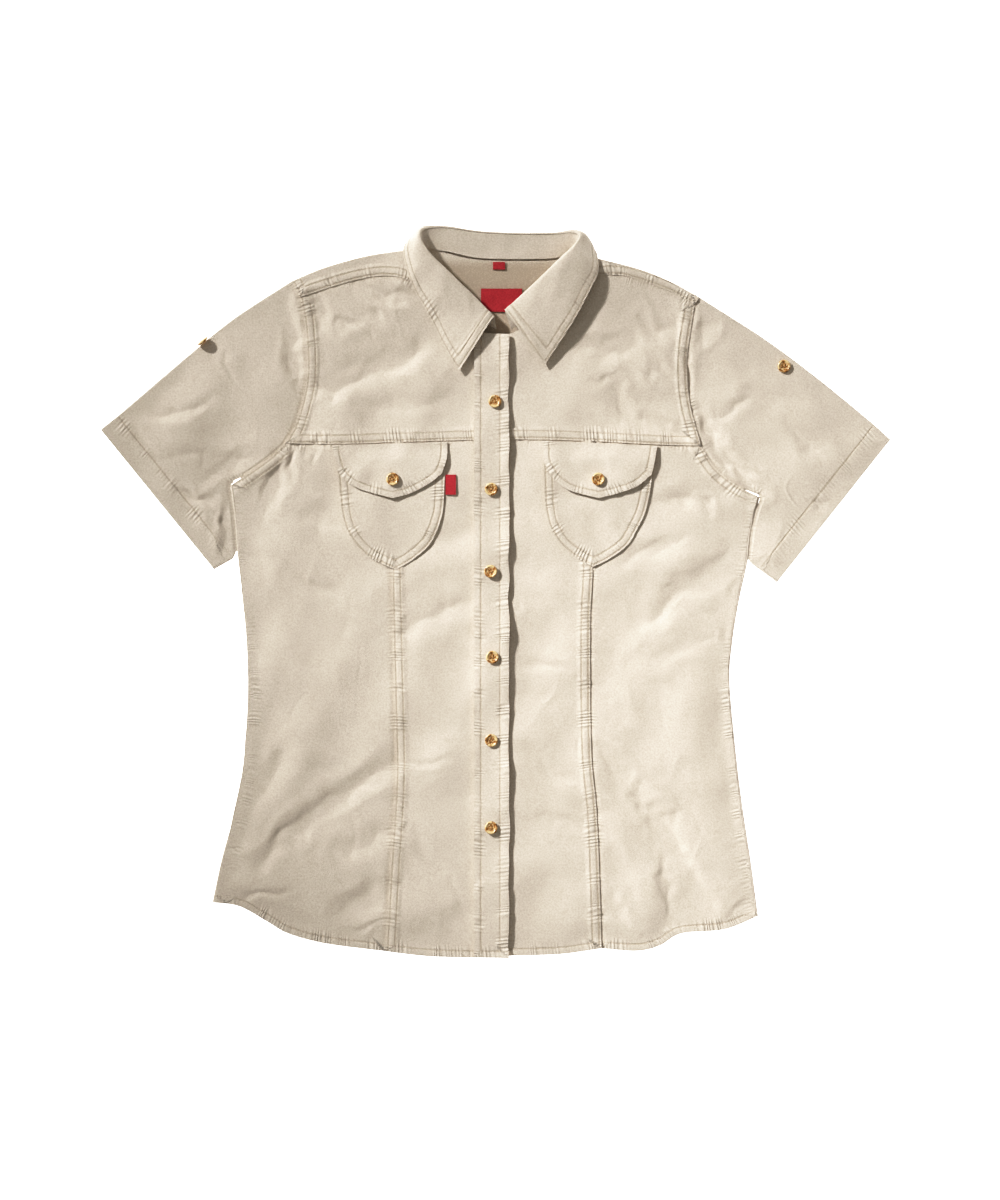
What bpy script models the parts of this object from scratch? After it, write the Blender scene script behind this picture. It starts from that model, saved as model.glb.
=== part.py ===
"""A short-sleeved safari shirt laid flat on its back, front up, buttoned.

Millimetres in the tables, metres in the meshes. +X is the viewer's right, +Y runs
from hem to collar, +Z points up. Left and right are the viewer's.
"""
import math

import bpy
import numpy as np

MM = 0.001
CLOTH = 1.2            # wall of a single cut piece
SEAM_GAP = 0.3         # between two pieces that are sewn edge to edge
FOLD_SEAM_GAP = 0.6    # mid-wall gap at the collar's seam, 0.3 on the inside of its bend
LAYER_GAP = 0.3        # between two layers that lie on each other
HALF = CLOTH / 2

PUFF = 3.2             # how far the front floats above the back, well inside the outline
PUFF_REACH = 26.0      # distance from the outline where it has nearly risen
COLLAR_LIFT = 1.9      # the yoke lies this much higher where the leaf is tucked under it

SIDE_COLUMNS = 8       # columns of a side panel, and of the chest panel above it
CENTRE_COLUMNS = 5     # columns of a centre panel, and of the chest panel above it
NECK_COLUMNS = 10      # columns of the yoke along the back neck
ARM_STRIP = 2          # armhole samples along the shoulder strip, the chest and below the chest seam
ARM_CHEST = 6
ARM_UNDER = 4
ARM_BODY = 4           # sleeve samples beside the body, from the armpit to the underarm fold
YOKE_ROWS = 5          # armhole samples from the shoulder fold down to the back yoke's seam
SIDE_ROWS = 20         # rows from the armpit to the hem
SLEEVE_ROWS = 8        # rings from the armhole to the sleeve's hem band
BAND_ROWS = 2          # rings over the hem band

PLACKET_WIDTH = 35.0
PLACKET_WALL = 2.0
PLACKET_LEFT = -21.5   # its sewn edge; the other edge is free
CLEAR_ON_PANEL = 0.5   # what lies on a panel keeps this from it
POCKET_TOP = 127.0

BUTTON_RADIUS = 6.5
BUTTON_HEIGHT = 2.6
BUTTON_STEPS = 14

# Outlines, as x and y of the points that the shape needs
SIDE_LEFT = [(-282.5, -311), (-273.5, -269), (-262.5, -229), (-247.5, -169), (-243.5, -109),
             (-246.5, -49), (-253.5, 5), (-258.0, 42), (-260.0, 69), (-264.5, 106)]
SIDE_RIGHT = [(262.0, -325), (254.5, -269), (245.5, -209), (238.5, -149), (233.5, -89),
              (236.5, -49), (243.0, -9), (251.5, 30), (255.0, 60), (263.5, 94)]
HEM_LEFT = [(-282.5, -311), (-256.0, -315), (-228.5, -330), (-207.5, -342), (-170.5, -352), (-109.5, -360)]
HEM_FRONT_LEFT = [(-109.5, -360), (-65.5, -365), (-13.5, -366.4)]
HEM_FRONT_RIGHT = [(-12.9, -364.5), (60.5, -363), (106.0, -357)]
HEM_RIGHT = [(106.0, -357), (141.5, -359.5), (164.5, -354), (186.0, -342), (228.5, -338), (262.0, -325)]
PRINCESS_LEFT = [(-109.5, -360), (-104.5, -272), (-99.5, -187), (-100.5, -117), (-103.5, 20), (-103.5, 148.5)]
PRINCESS_RIGHT = [(106.0, -357), (101.5, -230), (95.5, -157), (94.5, -33), (97.0, 24), (98.5, 149.5)]
CHEST_LEFT = [(-209.5, 147.5), (-162.5, 146.5), (-103.5, 148.5)]
CHEST_FRONT_LEFT = [(-103.5, 148.5), (-48.5, 150), (-13.5, 151)]
CHEST_FRONT_RIGHT = [(-12.9, 151.5), (47.5, 151), (98.5, 149.5)]
CHEST_RIGHT = [(98.5, 149.5), (161.5, 146), (205.0, 145.0)]
ARMHOLE_LEFT = {
    "strip": [(-203.5, 309.5), (-199.6, 302), (-195.0, 293.5)],
    "chest": [(-195.0, 293.5), (-189.5, 260), (-188.5, 212), (-198.5, 170), (-209.5, 147.5)],
    "under": [(-209.5, 147.5), (-224.0, 134), (-243.0, 120), (-264.5, 106)],
}
ARMHOLE_RIGHT = {
    "strip": [(204.0, 293.0), (201.5, 290), (199.0, 286.5)],
    "chest": [(199.0, 286.5), (191.5, 235), (193.5, 191), (205.0, 145.0)],
    "under": [(205.0, 145.0), (220.5, 122), (240.0, 106), (263.5, 94)],
}
SHOULDER_LEFT = [(-203.5, 309.5), (-170.5, 323), (-126.5, 335), (-83.5, 341), (-72.0, 343)]
SHOULDER_RIGHT = [(83.0, 337), (95.5, 333.5), (138.5, 323), (170.5, 311), (204.0, 293)]
STRIP_SEAM_LEFT = [(-195.0, 293.5), (-159.5, 305), (-125.5, 313.5), (-97.5, 313.5), (-70.0, 303)]
STRIP_SEAM_RIGHT = [(84.0, 312), (101.5, 315), (132.5, 314), (175.5, 299), (199.0, 286.5)]
NECK_BACK = [(-72.0, 343), (-50.0, 338), (-25.0, 332), (14.5, 330), (60.0, 331), (83.0, 337)]
NECK_FRONT_LEFT = [(-13.5, 262.5), (-31.0, 277), (-53.0, 293), (-70.0, 303)]
NECK_FRONT_RIGHT = [(-12.9, 255), (17.0, 257.5), (38.0, 273), (60.0, 292), (84.0, 312)]
SLEEVE_TOP_LEFT = [(-203.5, 309.5), (-262.5, 271), (-311.5, 231), (-374.5, 177)]
SLEEVE_TOP_RIGHT = [(204.0, 293.0), (269.5, 251), (324.5, 210), (377.0, 167)]
SLEEVE_BY_BODY_LEFT = [(-266.6, 107.6), (-264.2, 88), (-261.9, 64), (-259.6, 38.5)]
SLEEVE_BY_BODY_RIGHT = [(265.6, 95.8), (261.9, 80), (257.4, 60), (253.9, 29.5)]
UNDERARM_LEFT = [(-259.6, 38.5), (-263.0, 32.5), (-281.5, 22)]
UNDERARM_RIGHT = [(253.9, 29.5), (261.5, 23.5), (281.5, 9)]
CUFF_LEFT = [(-394.4, 161), (-281.5, 22)]
CUFF_RIGHT = [(394.4, 151), (281.5, 9)]

# How far the back wraps round to the front along the side seams
LIP_LEFT = {"y": [-311, -269, -189, -149, 106], "width": [14.0, 12.0, 5.5, 2.2, 1.8]}
LIP_RIGHT = {"y": [-325, -229, -129, -60, 94], "width": [5.0, 4.0, 2.6, 1.8, 1.8]}

# The largest folds: where each starts and ends, its half width, and its height above the
# floating front, negative for a trough
FOLDS = [
    {"x0": -101, "y0": -171, "x1": -238, "y1": -272, "width": 15, "height": -3.4},
    {"x0": -106, "y0": -300, "x1": -158, "y1": -326, "width": 15, "height": -2.2},
    {"x0": -208, "y0": -166, "x1": -244, "y1": -208, "width": 15, "height": -2.6},
    {"x0": 104, "y0": -160, "x1": 206, "y1": -312, "width": 15, "height": -3.4},
    {"x0": 168, "y0": -272, "x1": 184, "y1": -342, "width": 13, "height": -2.2},
    {"x0": 152, "y0": -29, "x1": 238, "y1": 26, "width": 16, "height": -2.6},
    {"x0": 170, "y0": 89, "x1": 205, "y1": 92, "width": 13, "height": -2.2},
    {"x0": -212, "y0": 124, "x1": -233, "y1": 76, "width": 14, "height": -3.6},
    {"x0": -178, "y0": 292, "x1": -172, "y1": 260, "width": 13, "height": -3.2},
    {"x0": -186, "y0": 202, "x1": -70, "y1": 246, "width": 15, "height": -3.0},
    {"x0": 160, "y0": 300, "x1": 180, "y1": 258, "width": 13, "height": -3.2},
    {"x0": 110, "y0": 200, "x1": 188, "y1": 158, "width": 14, "height": -2.8},
    {"x0": -214, "y0": 298, "x1": -199, "y1": 212, "width": 13, "height": -3.2},
    {"x0": -286, "y0": 116, "x1": -246, "y1": 130, "width": 14, "height": -2.6},
    {"x0": 208, "y0": 174, "x1": 222, "y1": 142, "width": 13, "height": -3.0},
    {"x0": 294, "y0": 164, "x1": 328, "y1": 138, "width": 14, "height": -2.2},
    {"x0": -60, "y0": -60, "x1": -60, "y1": -240, "width": 46, "height": 1.6},
    {"x0": 165, "y0": -70, "x1": 190, "y1": -180, "width": 50, "height": 2.4},
    {"x0": -180, "y0": -40, "x1": -175, "y1": -140, "width": 50, "height": 2.0},
    {"x0": -300, "y0": 200, "x1": -320, "y1": 110, "width": 34, "height": 2.4},
    {"x0": 290, "y0": 190, "x1": 320, "y1": 100, "width": 34, "height": 2.4},
]

# Collar sections from the left front end round the back to the right front end: the fold at
# the top of the stand, the leaf's outer edge with its height over the cloth below it (or over
# the floor where it is tucked under), the stand's sewn edge, and how far the fold rolls out
COLLAR_COLUMNS = ("fold_x", "fold_y", "fold_z", "edge_x", "edge_y", "edge_lift", "tucked",
                  "neck_x", "neck_y", "roll")
COLLAR_SECTIONS = [
    (0.5, 274, 12.5, -36.5, 219, 1.6, 0, 1.0, 261.5, 4),
    (-18.5, 293, 13.5, -52.5, 247, 1.6, 0, -28.5, 279.0, 5),
    (-38.0, 311, 16.0, -67.0, 276, 1.8, 0, -50.0, 295.5, 6),
    (-60.0, 332, 19.0, -82.0, 303, 1.8, 0, -67.5, 306.5, 7),
    (-70.5, 346, 18.0, -89.0, 323, 2.2, 0, -68.8, 326.0, 7),
    (-72.0, 355, 14.5, -92.0, 341, 2.2, 0, -68.6, 336.0, 6),
    (-69.5, 360, 11.0, -84.0, 350, 1.6, 1, -67.0, 341.5, 5),
    (-60.5, 362, 8.5, -66.0, 331, 0.6, 1, -60.0, 340.5, 4),
    (-45.0, 362, 7.0, -47.0, 318, 0.6, 1, -46.0, 338.6, 3.6),
    (-18.0, 358, 6.6, -18.0, 317, 0.6, 1, -18.0, 332.6, 3.2),
    (20.0, 356, 6.4, 20.0, 316, 0.6, 1, 20.0, 331.4, 3.0),
    (58.0, 356, 7.0, 57.0, 317, 0.6, 1, 57.0, 332.3, 3.4),
    (76.0, 357, 10.0, 84.0, 327, 0.6, 1, 75.0, 336.0, 5),
    (83.5, 352, 15.0, 99.0, 340, 1.4, 1, 80.5, 334.0, 7),
    (75.0, 342, 19.0, 102.0, 318, 6.0, 0, 81.8, 324.0, 8),
    (59.5, 327, 20.0, 95.0, 302, 9.0, 0, 79.5, 310.5, 8),
    (40.0, 309, 17.0, 82.0, 276, 9.0, 0, 56.5, 292.5, 7),
    (22.0, 293, 14.0, 65.5, 250, 5.0, 0, 35.5, 275.5, 5),
    (8.0, 281, 12.5, 48.5, 224.5, 2.4, 0, 15.5, 261.0, 4),
]
COLLAR_STEPS = 2       # mesh steps between two sections
LEAF_ROWS = 6
STAND_ROWS = 2

# Pocket and flap outlines: the left side from the top down, then the lower edge to the right
POCKET_LEFT = {
    "side_left": [(-159.0, POCKET_TOP), (-156.0, 105), (-154.0, 80), (-149.5, 62)],
    "lower": [(-149.5, 62), (-139.5, 46), (-125.5, 33.5), (-100.0, 21)],
    "lower_right": [(-100.0, 21), (-83.0, 31), (-66.0, 46), (-57.5, 62)],
    "side_right": [(-50.0, POCKET_TOP), (-51.0, 105), (-52.5, 80), (-57.5, 62)],
}
POCKET_RIGHT = {
    "side_left": [(48.0, POCKET_TOP), (48.5, 105), (49.5, 84), (53.0, 66)],
    "lower": [(53.0, 66), (64.5, 47), (80.0, 34), (97.5, 24)],
    "lower_right": [(97.5, 24), (115.0, 33), (132.0, 46), (141.5, 62)],
    "side_right": [(157.0, POCKET_TOP), (155.0, 105), (149.5, 79), (141.5, 62)],
}
FLAP_LEFT = {
    "side_left": [(-162.5, 146), (-161.0, 133), (-156.5, 118)],
    "lower": [(-156.5, 118), (-147.5, 109), (-133.5, 101), (-102.5, 92.5)],
    "lower_right": [(-102.5, 92.5), (-83.5, 98), (-65.0, 108), (-53.5, 117)],
    "side_right": [(-48.0, 149.5), (-48.5, 133), (-53.5, 117)],
}
FLAP_RIGHT = {
    "side_left": [(47.5, 150.5), (48.5, 129), (56.5, 113.5)],
    "lower": [(56.5, 113.5), (70.5, 102), (85.0, 97), (103.0, 92.5)],
    "lower_right": [(103.0, 92.5), (120.5, 97), (140.5, 104), (155.5, 116)],
    "side_right": [(161.5, 145.5), (158.5, 128), (155.5, 116)],
}

PLACKET_BUTTONS = [(-0.5, 189), (-4.2, 101.5), (-4.7, 19.5), (-3.2, -66), (-4.1, -149), (-4.3, -236)]
FLAP_BUTTONS = {"left": (-102.5, 111.4), "right": (102.3, 111.4)}
SLEEVE_BUTTON_RIGHT = (288.0, 224.3)
SLEEVE_BUTTON_LEFT_X = -291.5          # it stands on edge against the sleeve's fold there
SLEEVE_BUTTON_TILT = math.radians(78)
SLEEVE_BUTTON_FLOOR = 0.5

NECK_LABEL = {"x": (-14.5, 26.5), "y": (279, 302), "wall": 1.0}
SIZE_TAB = {"x": (-2.5, 9.5), "y": (321, 328.5), "wall": 1.0}
LABEL_GAP = 0.45
POCKET_TAB = {"x": (-49.8, -39.5), "y": (96, 116), "wall": 1.2}

FLOOR_MID = HALF       # middle of a layer that lies on the floor
FRONT_RISE = CLOTH + LAYER_GAP


def clear_scene():
    for item in list(bpy.data.objects):
        bpy.data.objects.remove(item, do_unlink=True)


def make_material(name, colour, roughness):
    material = bpy.data.materials.new(name)
    material.use_nodes = True
    shader = material.node_tree.nodes["Principled BSDF"]
    shader.inputs["Base Color"].default_value = (*colour, 1)
    shader.inputs["Roughness"].default_value = roughness
    shader.inputs["Metallic"].default_value = 0
    return material


def smooth_line(table, steps=12):
    """A Catmull-Rom curve through the table's points, finely sampled."""
    points = np.array(table, float)
    ends = np.vstack([2 * points[0] - points[1], points, 2 * points[-1] - points[-2]])
    line = []
    for a, b, c, d in zip(ends, ends[1:], ends[2:], ends[3:]):
        for step in range(steps):
            t = step / steps
            line.append(0.5 * (2 * b + (c - a) * t + (2 * a - 5 * b + 4 * c - d) * t ** 2
                               + (3 * b - a - 3 * c + d) * t ** 3))
    line.append(points[-1])
    return np.array(line)


def spaced(table, count):
    """count + 1 points at even distances along the smooth line through a table."""
    line = smooth_line(table)
    run = np.r_[0, np.cumsum(np.linalg.norm(np.diff(line, axis=0), axis=1))]
    at = np.linspace(0, run[-1], count + 1)
    return np.column_stack([np.interp(at, run, line[:, k]) for k in range(line.shape[1])])


def joined(*lines):
    """Lines that meet end to end, as one."""
    return np.vstack([lines[0]] + [line[1:] for line in lines[1:]])


def run_fractions(line_a, line_b):
    """The mean share of the way along two lines at each of their points."""
    shares = []
    for line in (line_a, line_b):
        run = np.r_[0, np.cumsum(np.linalg.norm(np.diff(line, axis=0), axis=1))]
        shares.append(run / run[-1])
    return (shares[0] + shares[1]) / 2


def coons(bottom, top, left, right):
    """A grid [row, column] of plan points that fills four border lines."""
    u = run_fractions(bottom, top)[None, :, None]
    v = run_fractions(left, right)[:, None, None]
    across = (1 - u) * left[:, None] + u * right[:, None]
    along = (1 - v) * bottom[None] + v * top[None]
    corners = ((1 - v) * ((1 - u) * bottom[0] + u * bottom[-1])
               + v * ((1 - u) * top[0] + u * top[-1]))
    return across + along - corners


def pull_in(grid, sides, amount=SEAM_GAP / 2):
    """Move the named borders of a plan grid inwards."""
    moved = grid.copy()
    borders = {"left": (np.s_[:, 0], np.s_[:, 1]), "right": (np.s_[:, -1], np.s_[:, -2]),
               "bottom": (np.s_[0], np.s_[1]), "top": (np.s_[-1], np.s_[-2])}
    for side in sides:
        edge, inner = borders[side]
        along = np.gradient(grid[edge], axis=0)
        inward = np.column_stack([-along[:, 1], along[:, 0]])
        inward /= np.linalg.norm(inward, axis=1)[:, None]
        facing = np.sign(np.sum(inward * (grid[inner] - grid[edge]), axis=1))
        moved[edge] += amount * inward * facing[:, None]
    return moved


def ramp(value, start, end):
    """0 at start, 1 at end, smooth between."""
    t = np.clip((value - start) / (end - start), 0, 1)
    return t * t * (3 - 2 * t)


def segment_distance(x, y, x0, y0, x1, y1):
    """Distance to a segment, and the share of the way along it."""
    dx = x1 - x0
    dy = y1 - y0
    t = np.clip(((x - x0) * dx + (y - y0) * dy) / (dx * dx + dy * dy), 0, 1)
    return np.hypot(x - x0 - t * dx, y - y0 - t * dy), t


def outline_points():
    """The silhouette without the collar, as one closed line."""
    return joined(
        spaced(HEM_LEFT, 8)[::-1][:1], spaced(HEM_LEFT, 8)[::-1], spaced(SIDE_LEFT, 12),
        np.array([SIDE_LEFT[-1], UNDERARM_LEFT[0], CUFF_LEFT[1], CUFF_LEFT[0]]),
        spaced(SLEEVE_TOP_LEFT, 6)[::-1], spaced(SHOULDER_LEFT, 6),
        np.array([SHOULDER_LEFT[-1], SHOULDER_RIGHT[0]]), spaced(SHOULDER_RIGHT, 6),
        spaced(SLEEVE_TOP_RIGHT, 6), np.array([SLEEVE_TOP_RIGHT[-1], CUFF_RIGHT[0], CUFF_RIGHT[1],
                                               UNDERARM_RIGHT[0]]),
        spaced(SIDE_RIGHT, 12)[::-1], spaced(HEM_RIGHT, 8)[::-1],
        np.array([HEM_RIGHT[0], (0, -366), HEM_LEFT[-1]]))


OUTLINE = outline_points()


def edge_distance(x, y):
    """How far inside the silhouette a place lies; the neck doesn't count as an edge."""
    nearest = np.full(np.shape(x), 1e9)
    for start, end in zip(OUTLINE, OUTLINE[1:]):
        if np.hypot(*(end - start)) < 1e-6:
            continue
        nearest = np.minimum(nearest, segment_distance(x, y, *start, *end)[0])
    return nearest


def back_mid(x, y):
    """Middle of the back layer: on the floor, and raised where the leaf is tucked under."""
    over_leaf = ramp(y, 282, 314) * ramp(x, -112, -92) * ramp(-x, -126, -106)
    return FLOOR_MID + COLLAR_LIFT * over_leaf


def relief(x, y):
    """Height of the front above the back, beyond the smallest gap."""
    height = PUFF * (1 - np.exp(-(edge_distance(x, y) / PUFF_REACH) ** 2))
    for fold in FOLDS:
        away, t = segment_distance(x, y, fold["x0"], fold["y0"], fold["x1"], fold["y1"])
        height = height + fold["height"] * np.exp(-(away / fold["width"]) ** 2) * (
            0.4 + 0.6 * np.sin(math.pi * t))
    return 0.5 * (height + np.sqrt(height ** 2 + 0.25))


def front_mid(x, y):
    return back_mid(x, y) + FRONT_RISE + relief(x, y)


def front_top(x, y):
    return front_mid(x, y) + HALF


def lifted(grid, height):
    """Plan grid to space, at the given height function."""
    return np.dstack([grid, height(grid[..., 0], grid[..., 1])])


def surface_normals(grid):
    across = np.gradient(grid, axis=1)
    along = np.gradient(grid, axis=0)
    normal = np.cross(across, along)
    return normal / np.linalg.norm(normal, axis=-1)[..., None]


def add_mesh(name, points, faces, material):
    mesh = bpy.data.meshes.new(name)
    mesh.from_pydata([tuple(p * MM) for p in points], [], faces)
    mesh.validate()
    mesh.shade_smooth()
    mesh.set_sharp_from_angle(angle=math.radians(40))
    item = bpy.data.objects.new(name, mesh)
    item.data.materials.append(material)
    bpy.data.collections["safari_shirt"].objects.link(item)
    return item


def cloth_wall(name, points, faces, up, material, wall=CLOTH):
    """Thicken an open sheet of faces into a closed wall, half to each side of it."""
    points = np.asarray(points, float).reshape(-1, 3)
    up = np.asarray(up, float).reshape(-1, 3)
    count = len(points)
    both = np.vstack([points + up * wall / 2, points - up * wall / 2])
    edges = set()
    for face in faces:
        for a, b in zip(face, face[1:] + face[:1]):
            edges.add((a, b))
    solid = list(faces) + [tuple(count + k for k in reversed(face)) for face in faces]
    solid += [(b, a, a + count, b + count) for a, b in sorted(edges) if (b, a) not in edges]
    return add_mesh(name, both, solid, material)


def grid_faces(rows, columns, closed=False):
    """Quads of a grid; with closed, the last column joins the first."""
    faces = []
    for j in range(rows - 1):
        for i in range(columns if closed else columns - 1):
            right = (i + 1) % columns
            faces.append((j * columns + i, j * columns + right,
                          (j + 1) * columns + right, (j + 1) * columns + i))
    return faces


def panel(name, grid, material, height=front_mid, wall=CLOTH):
    """A flat-lying piece: its wall is measured straight up."""
    points = lifted(grid, height)
    up = np.zeros_like(points)
    up[..., 2] = 1
    return cloth_wall(name, points, grid_faces(*grid.shape[:2]), up, material, wall)


def armhole(side):
    """The armhole from the shoulder fold to the armpit, with its shared samples."""
    return joined(spaced(side["strip"], ARM_STRIP), spaced(side["chest"], ARM_CHEST),
                  spaced(side["under"], ARM_UNDER))


def seam_inside(side_line, lip_table, inward):
    """The front's side seam: the silhouette moved in by the width that the back wraps."""
    width = np.interp(side_line[:, 1], lip_table["y"], lip_table["width"])
    return side_line + np.column_stack([inward * width, np.zeros(len(width))])


def make_fronts(cloth):
    halves = (
        ("left", ARMHOLE_LEFT, SIDE_LEFT, LIP_LEFT, 1, PRINCESS_LEFT, HEM_LEFT, HEM_FRONT_LEFT,
         CHEST_LEFT, CHEST_FRONT_LEFT, STRIP_SEAM_LEFT, NECK_FRONT_LEFT),
        ("right", ARMHOLE_RIGHT, SIDE_RIGHT, LIP_RIGHT, -1, PRINCESS_RIGHT, HEM_RIGHT, HEM_FRONT_RIGHT,
         CHEST_RIGHT, CHEST_FRONT_RIGHT, STRIP_SEAM_RIGHT, NECK_FRONT_RIGHT),
    )
    for name, arm, side, lip, inward, princess, hem, hem_front, chest, chest_front, strip, neck in halves:
        rows = SIDE_ROWS + ARM_UNDER
        princess_line = spaced(princess, rows)
        side_line = joined(seam_inside(spaced(side, SIDE_ROWS), lip, inward),
                           spaced(arm["under"], ARM_UNDER)[::-1])
        side_line[SIDE_ROWS] += (0.9 * inward, 0.9)
        hem_line = spaced(hem, SIDE_COLUMNS)
        hem_line[0 if name == "left" else -1] = side_line[0]
        chest_line = spaced(chest, SIDE_COLUMNS)
        chest_front_line = spaced(chest_front, CENTRE_COLUMNS)
        hem_front_line = spaced(hem_front, CENTRE_COLUMNS)
        edge_bottom = hem_front[-1] if name == "left" else hem_front[0]
        edge_top = chest_front[-1] if name == "left" else chest_front[0]
        edge = spaced([edge_bottom, edge_top], rows)
        if name == "left":
            side_grid = coons(hem_line, chest_line, side_line, princess_line)
            centre_grid = coons(hem_front_line, chest_front_line, princess_line, edge)
            outer, inner = "left", "right"
        else:
            side_grid = coons(hem_line, chest_line, princess_line, side_line)
            centre_grid = coons(hem_front_line, chest_front_line, edge, princess_line)
            outer, inner = "right", "left"
        panel("front_side_" + name, pull_in(side_grid, ("top", outer, inner)), cloth)
        panel("front_centre_" + name, pull_in(centre_grid, ("top", outer)), cloth)

        arm_line = spaced(arm["chest"], ARM_CHEST)[::-1]
        opening = joined(spaced([edge_top, neck[0]], ARM_CHEST - 3), spaced(neck, 3))
        chest_whole = joined(chest_line, chest_front_line)
        if name == "right":
            chest_whole = joined(chest_front_line, chest_line)
        strip_line = spaced(strip, SIDE_COLUMNS + CENTRE_COLUMNS)
        borders = (arm_line, opening) if name == "left" else (opening, arm_line)
        upper = coons(chest_whole, strip_line, *borders)
        panel("front_upper_" + name, pull_in(upper, ("top", "bottom", outer)), cloth)


def lip_profile(edge, inward, low, high, reach, outermost):
    """Points and normals of a fold at a side: from the flat layer round to the lip's end.

    The normal points to the inside of the fold.
    """
    radius = (high - low) / 2
    section = []
    for degrees in (-90, -40, 10, 55, 90):
        angle = math.radians(degrees)
        point = (edge + inward * radius * (1 - math.cos(angle)), (low + high) / 2 + radius * math.sin(angle))
        section.append((point, (inward * math.cos(angle), -math.sin(angle))))
    section.append(((edge + inward * reach, outermost), (0, -1)))
    return section


def make_back(cloth):
    """The back panel, flat on the floor, with its side edges wrapped round to the front."""
    left_arm = armhole(ARMHOLE_LEFT)[YOKE_ROWS:][::-1]
    right_arm = armhole(ARMHOLE_RIGHT)[YOKE_ROWS:][::-1]
    left = joined(spaced(SIDE_LEFT, SIDE_ROWS), left_arm)
    right = joined(spaced(SIDE_RIGHT, SIDE_ROWS), right_arm)
    hem = joined(spaced(HEM_LEFT, 4), spaced([HEM_LEFT[-1], (0, -366), HEM_RIGHT[0]], 4), spaced(HEM_RIGHT, 4))
    top = spaced([left[-1], right[-1]], len(hem) - 1)
    grid = coons(hem, top, left, right)
    grid[0, :, 1] += 0.8
    grid = pull_in(grid, ("top",))
    arm = slice(SIDE_ROWS, None)
    shrunk = pull_in(grid, ("left", "right"))
    grid[arm, 0] = shrunk[arm, 0]
    grid[arm, -1] = shrunk[arm, -1]

    points = []
    normals = []
    faces = []
    index = {}

    def add(key, point, normal):
        index[key] = len(points)
        points.append(point)
        normals.append(normal)

    rows, columns = grid.shape[:2]
    for j in range(rows):
        wrapped = j <= SIDE_ROWS
        for i in range(columns):
            x, y = grid[j, i]
            if wrapped and i in (0, columns - 1):
                continue
            add((j, i), (x, y, back_mid(x, y)), (0, 0, 1))
        if not wrapped:
            continue
        for side, i, inward, table in (("l", 0, 1, LIP_LEFT), ("r", columns - 1, -1, LIP_RIGHT)):
            x, y = grid[j, i]
            reach = np.interp(y, table["y"], table["width"]) - SEAM_GAP / 2
            high = front_mid(x, y)
            end = front_mid(x + inward * reach, y)
            section = lip_profile(x, inward, FLOOR_MID, high, reach, end)
            for k, ((px, pz), (nx, nz)) in enumerate(section):
                key = (j, i) if k == 0 else (side, j, k)
                add(key, (px, y, pz), (nx, 0, nz))
    for j in range(rows - 1):
        for i in range(columns - 1):
            faces.append((index[j, i], index[j, i + 1], index[j + 1, i + 1], index[j + 1, i]))
    for j in range(SIDE_ROWS):
        for side, i in (("l", 0), ("r", columns - 1)):
            for k in range(5):
                a = index[(j, i) if k == 0 else (side, j, k)]
                b = index[side, j, k + 1]
                c = index[side, j + 1, k + 1]
                d = index[(j + 1, i) if k == 0 else (side, j + 1, k)]
                faces.append((b, a, d, c) if side == "l" else (a, b, c, d))
    cloth_wall("back", points, faces, normals, cloth)


def make_yoke(cloth):
    """The back yoke, whose shoulder edges wrap over to the front as strips."""
    shoulder = SIDE_COLUMNS + CENTRE_COLUMNS
    left = armhole(ARMHOLE_LEFT)[:YOKE_ROWS + 1][::-1]
    right = armhole(ARMHOLE_RIGHT)[:YOKE_ROWS + 1][::-1]
    top = joined(spaced(SHOULDER_LEFT, shoulder), spaced(NECK_BACK, NECK_COLUMNS), spaced(SHOULDER_RIGHT, shoulder))
    bottom = spaced([left[0], right[0]], len(top) - 1)
    strips = {"left": spaced(STRIP_SEAM_LEFT, shoulder), "right": spaced(STRIP_SEAM_RIGHT, shoulder)}
    grid = pull_in(coons(bottom, top, left, right), ("bottom", "left", "right"))
    rows, columns = grid.shape[:2]

    points = []
    normals = []
    index = {}

    def add(key, x, y, z, normal):
        index[key] = len(points)
        points.append((x, y, z))
        normals.append(normal)

    wraps = {}
    for k in range(shoulder + 1):
        wraps[k] = strips["left"][k]
        wraps[columns - 1 - shoulder + k] = strips["right"][k]
    for column, target in wraps.items():
        fold = grid[-1, column].copy()
        towards = (target - fold) / np.linalg.norm(target - fold)
        low = float(back_mid(*fold))
        high = float(front_mid(*fold))
        radius = (high - low) / 2
        length = np.linalg.norm(target - fold) - SEAM_GAP / 2
        grid[-1, column] = fold + towards * radius
        for k, degrees in enumerate((-40, 10, 55, 90)):
            angle = math.radians(degrees)
            x, y = fold + towards * radius * (1 - math.cos(angle))
            z = (low + high) / 2 + radius * math.sin(angle)
            normal = (towards[0] * math.cos(angle), towards[1] * math.cos(angle), -math.sin(angle))
            add(("wrap", column, k), x, y, z, normal)
        for k, share in ((4, 0.5), (5, 1.0)):
            x, y = fold + towards * (radius + (length - radius) * share)
            add(("wrap", column, k), x, y, float(front_mid(x, y)), (0, 0, -1))
    for j in range(rows):
        for i in range(columns):
            x, y = grid[j, i]
            add((j, i), x, y, float(back_mid(x, y)), (0, 0, 1))
    faces = []
    for j in range(rows - 1):
        for i in range(columns - 1):
            faces.append((index[j, i], index[j, i + 1], index[j + 1, i + 1], index[j + 1, i]))
    for first in (0, columns - 1 - shoulder):
        for column in range(first, first + shoulder):
            for k in range(6):
                a = index[(rows - 1, column) if k == 0 else ("wrap", column, k - 1)]
                b = index[(rows - 1, column + 1) if k == 0 else ("wrap", column + 1, k - 1)]
                faces.append((a, b, index["wrap", column + 1, k], index["wrap", column, k]))
    cloth_wall("back_yoke", points, faces, normals, cloth)


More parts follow.
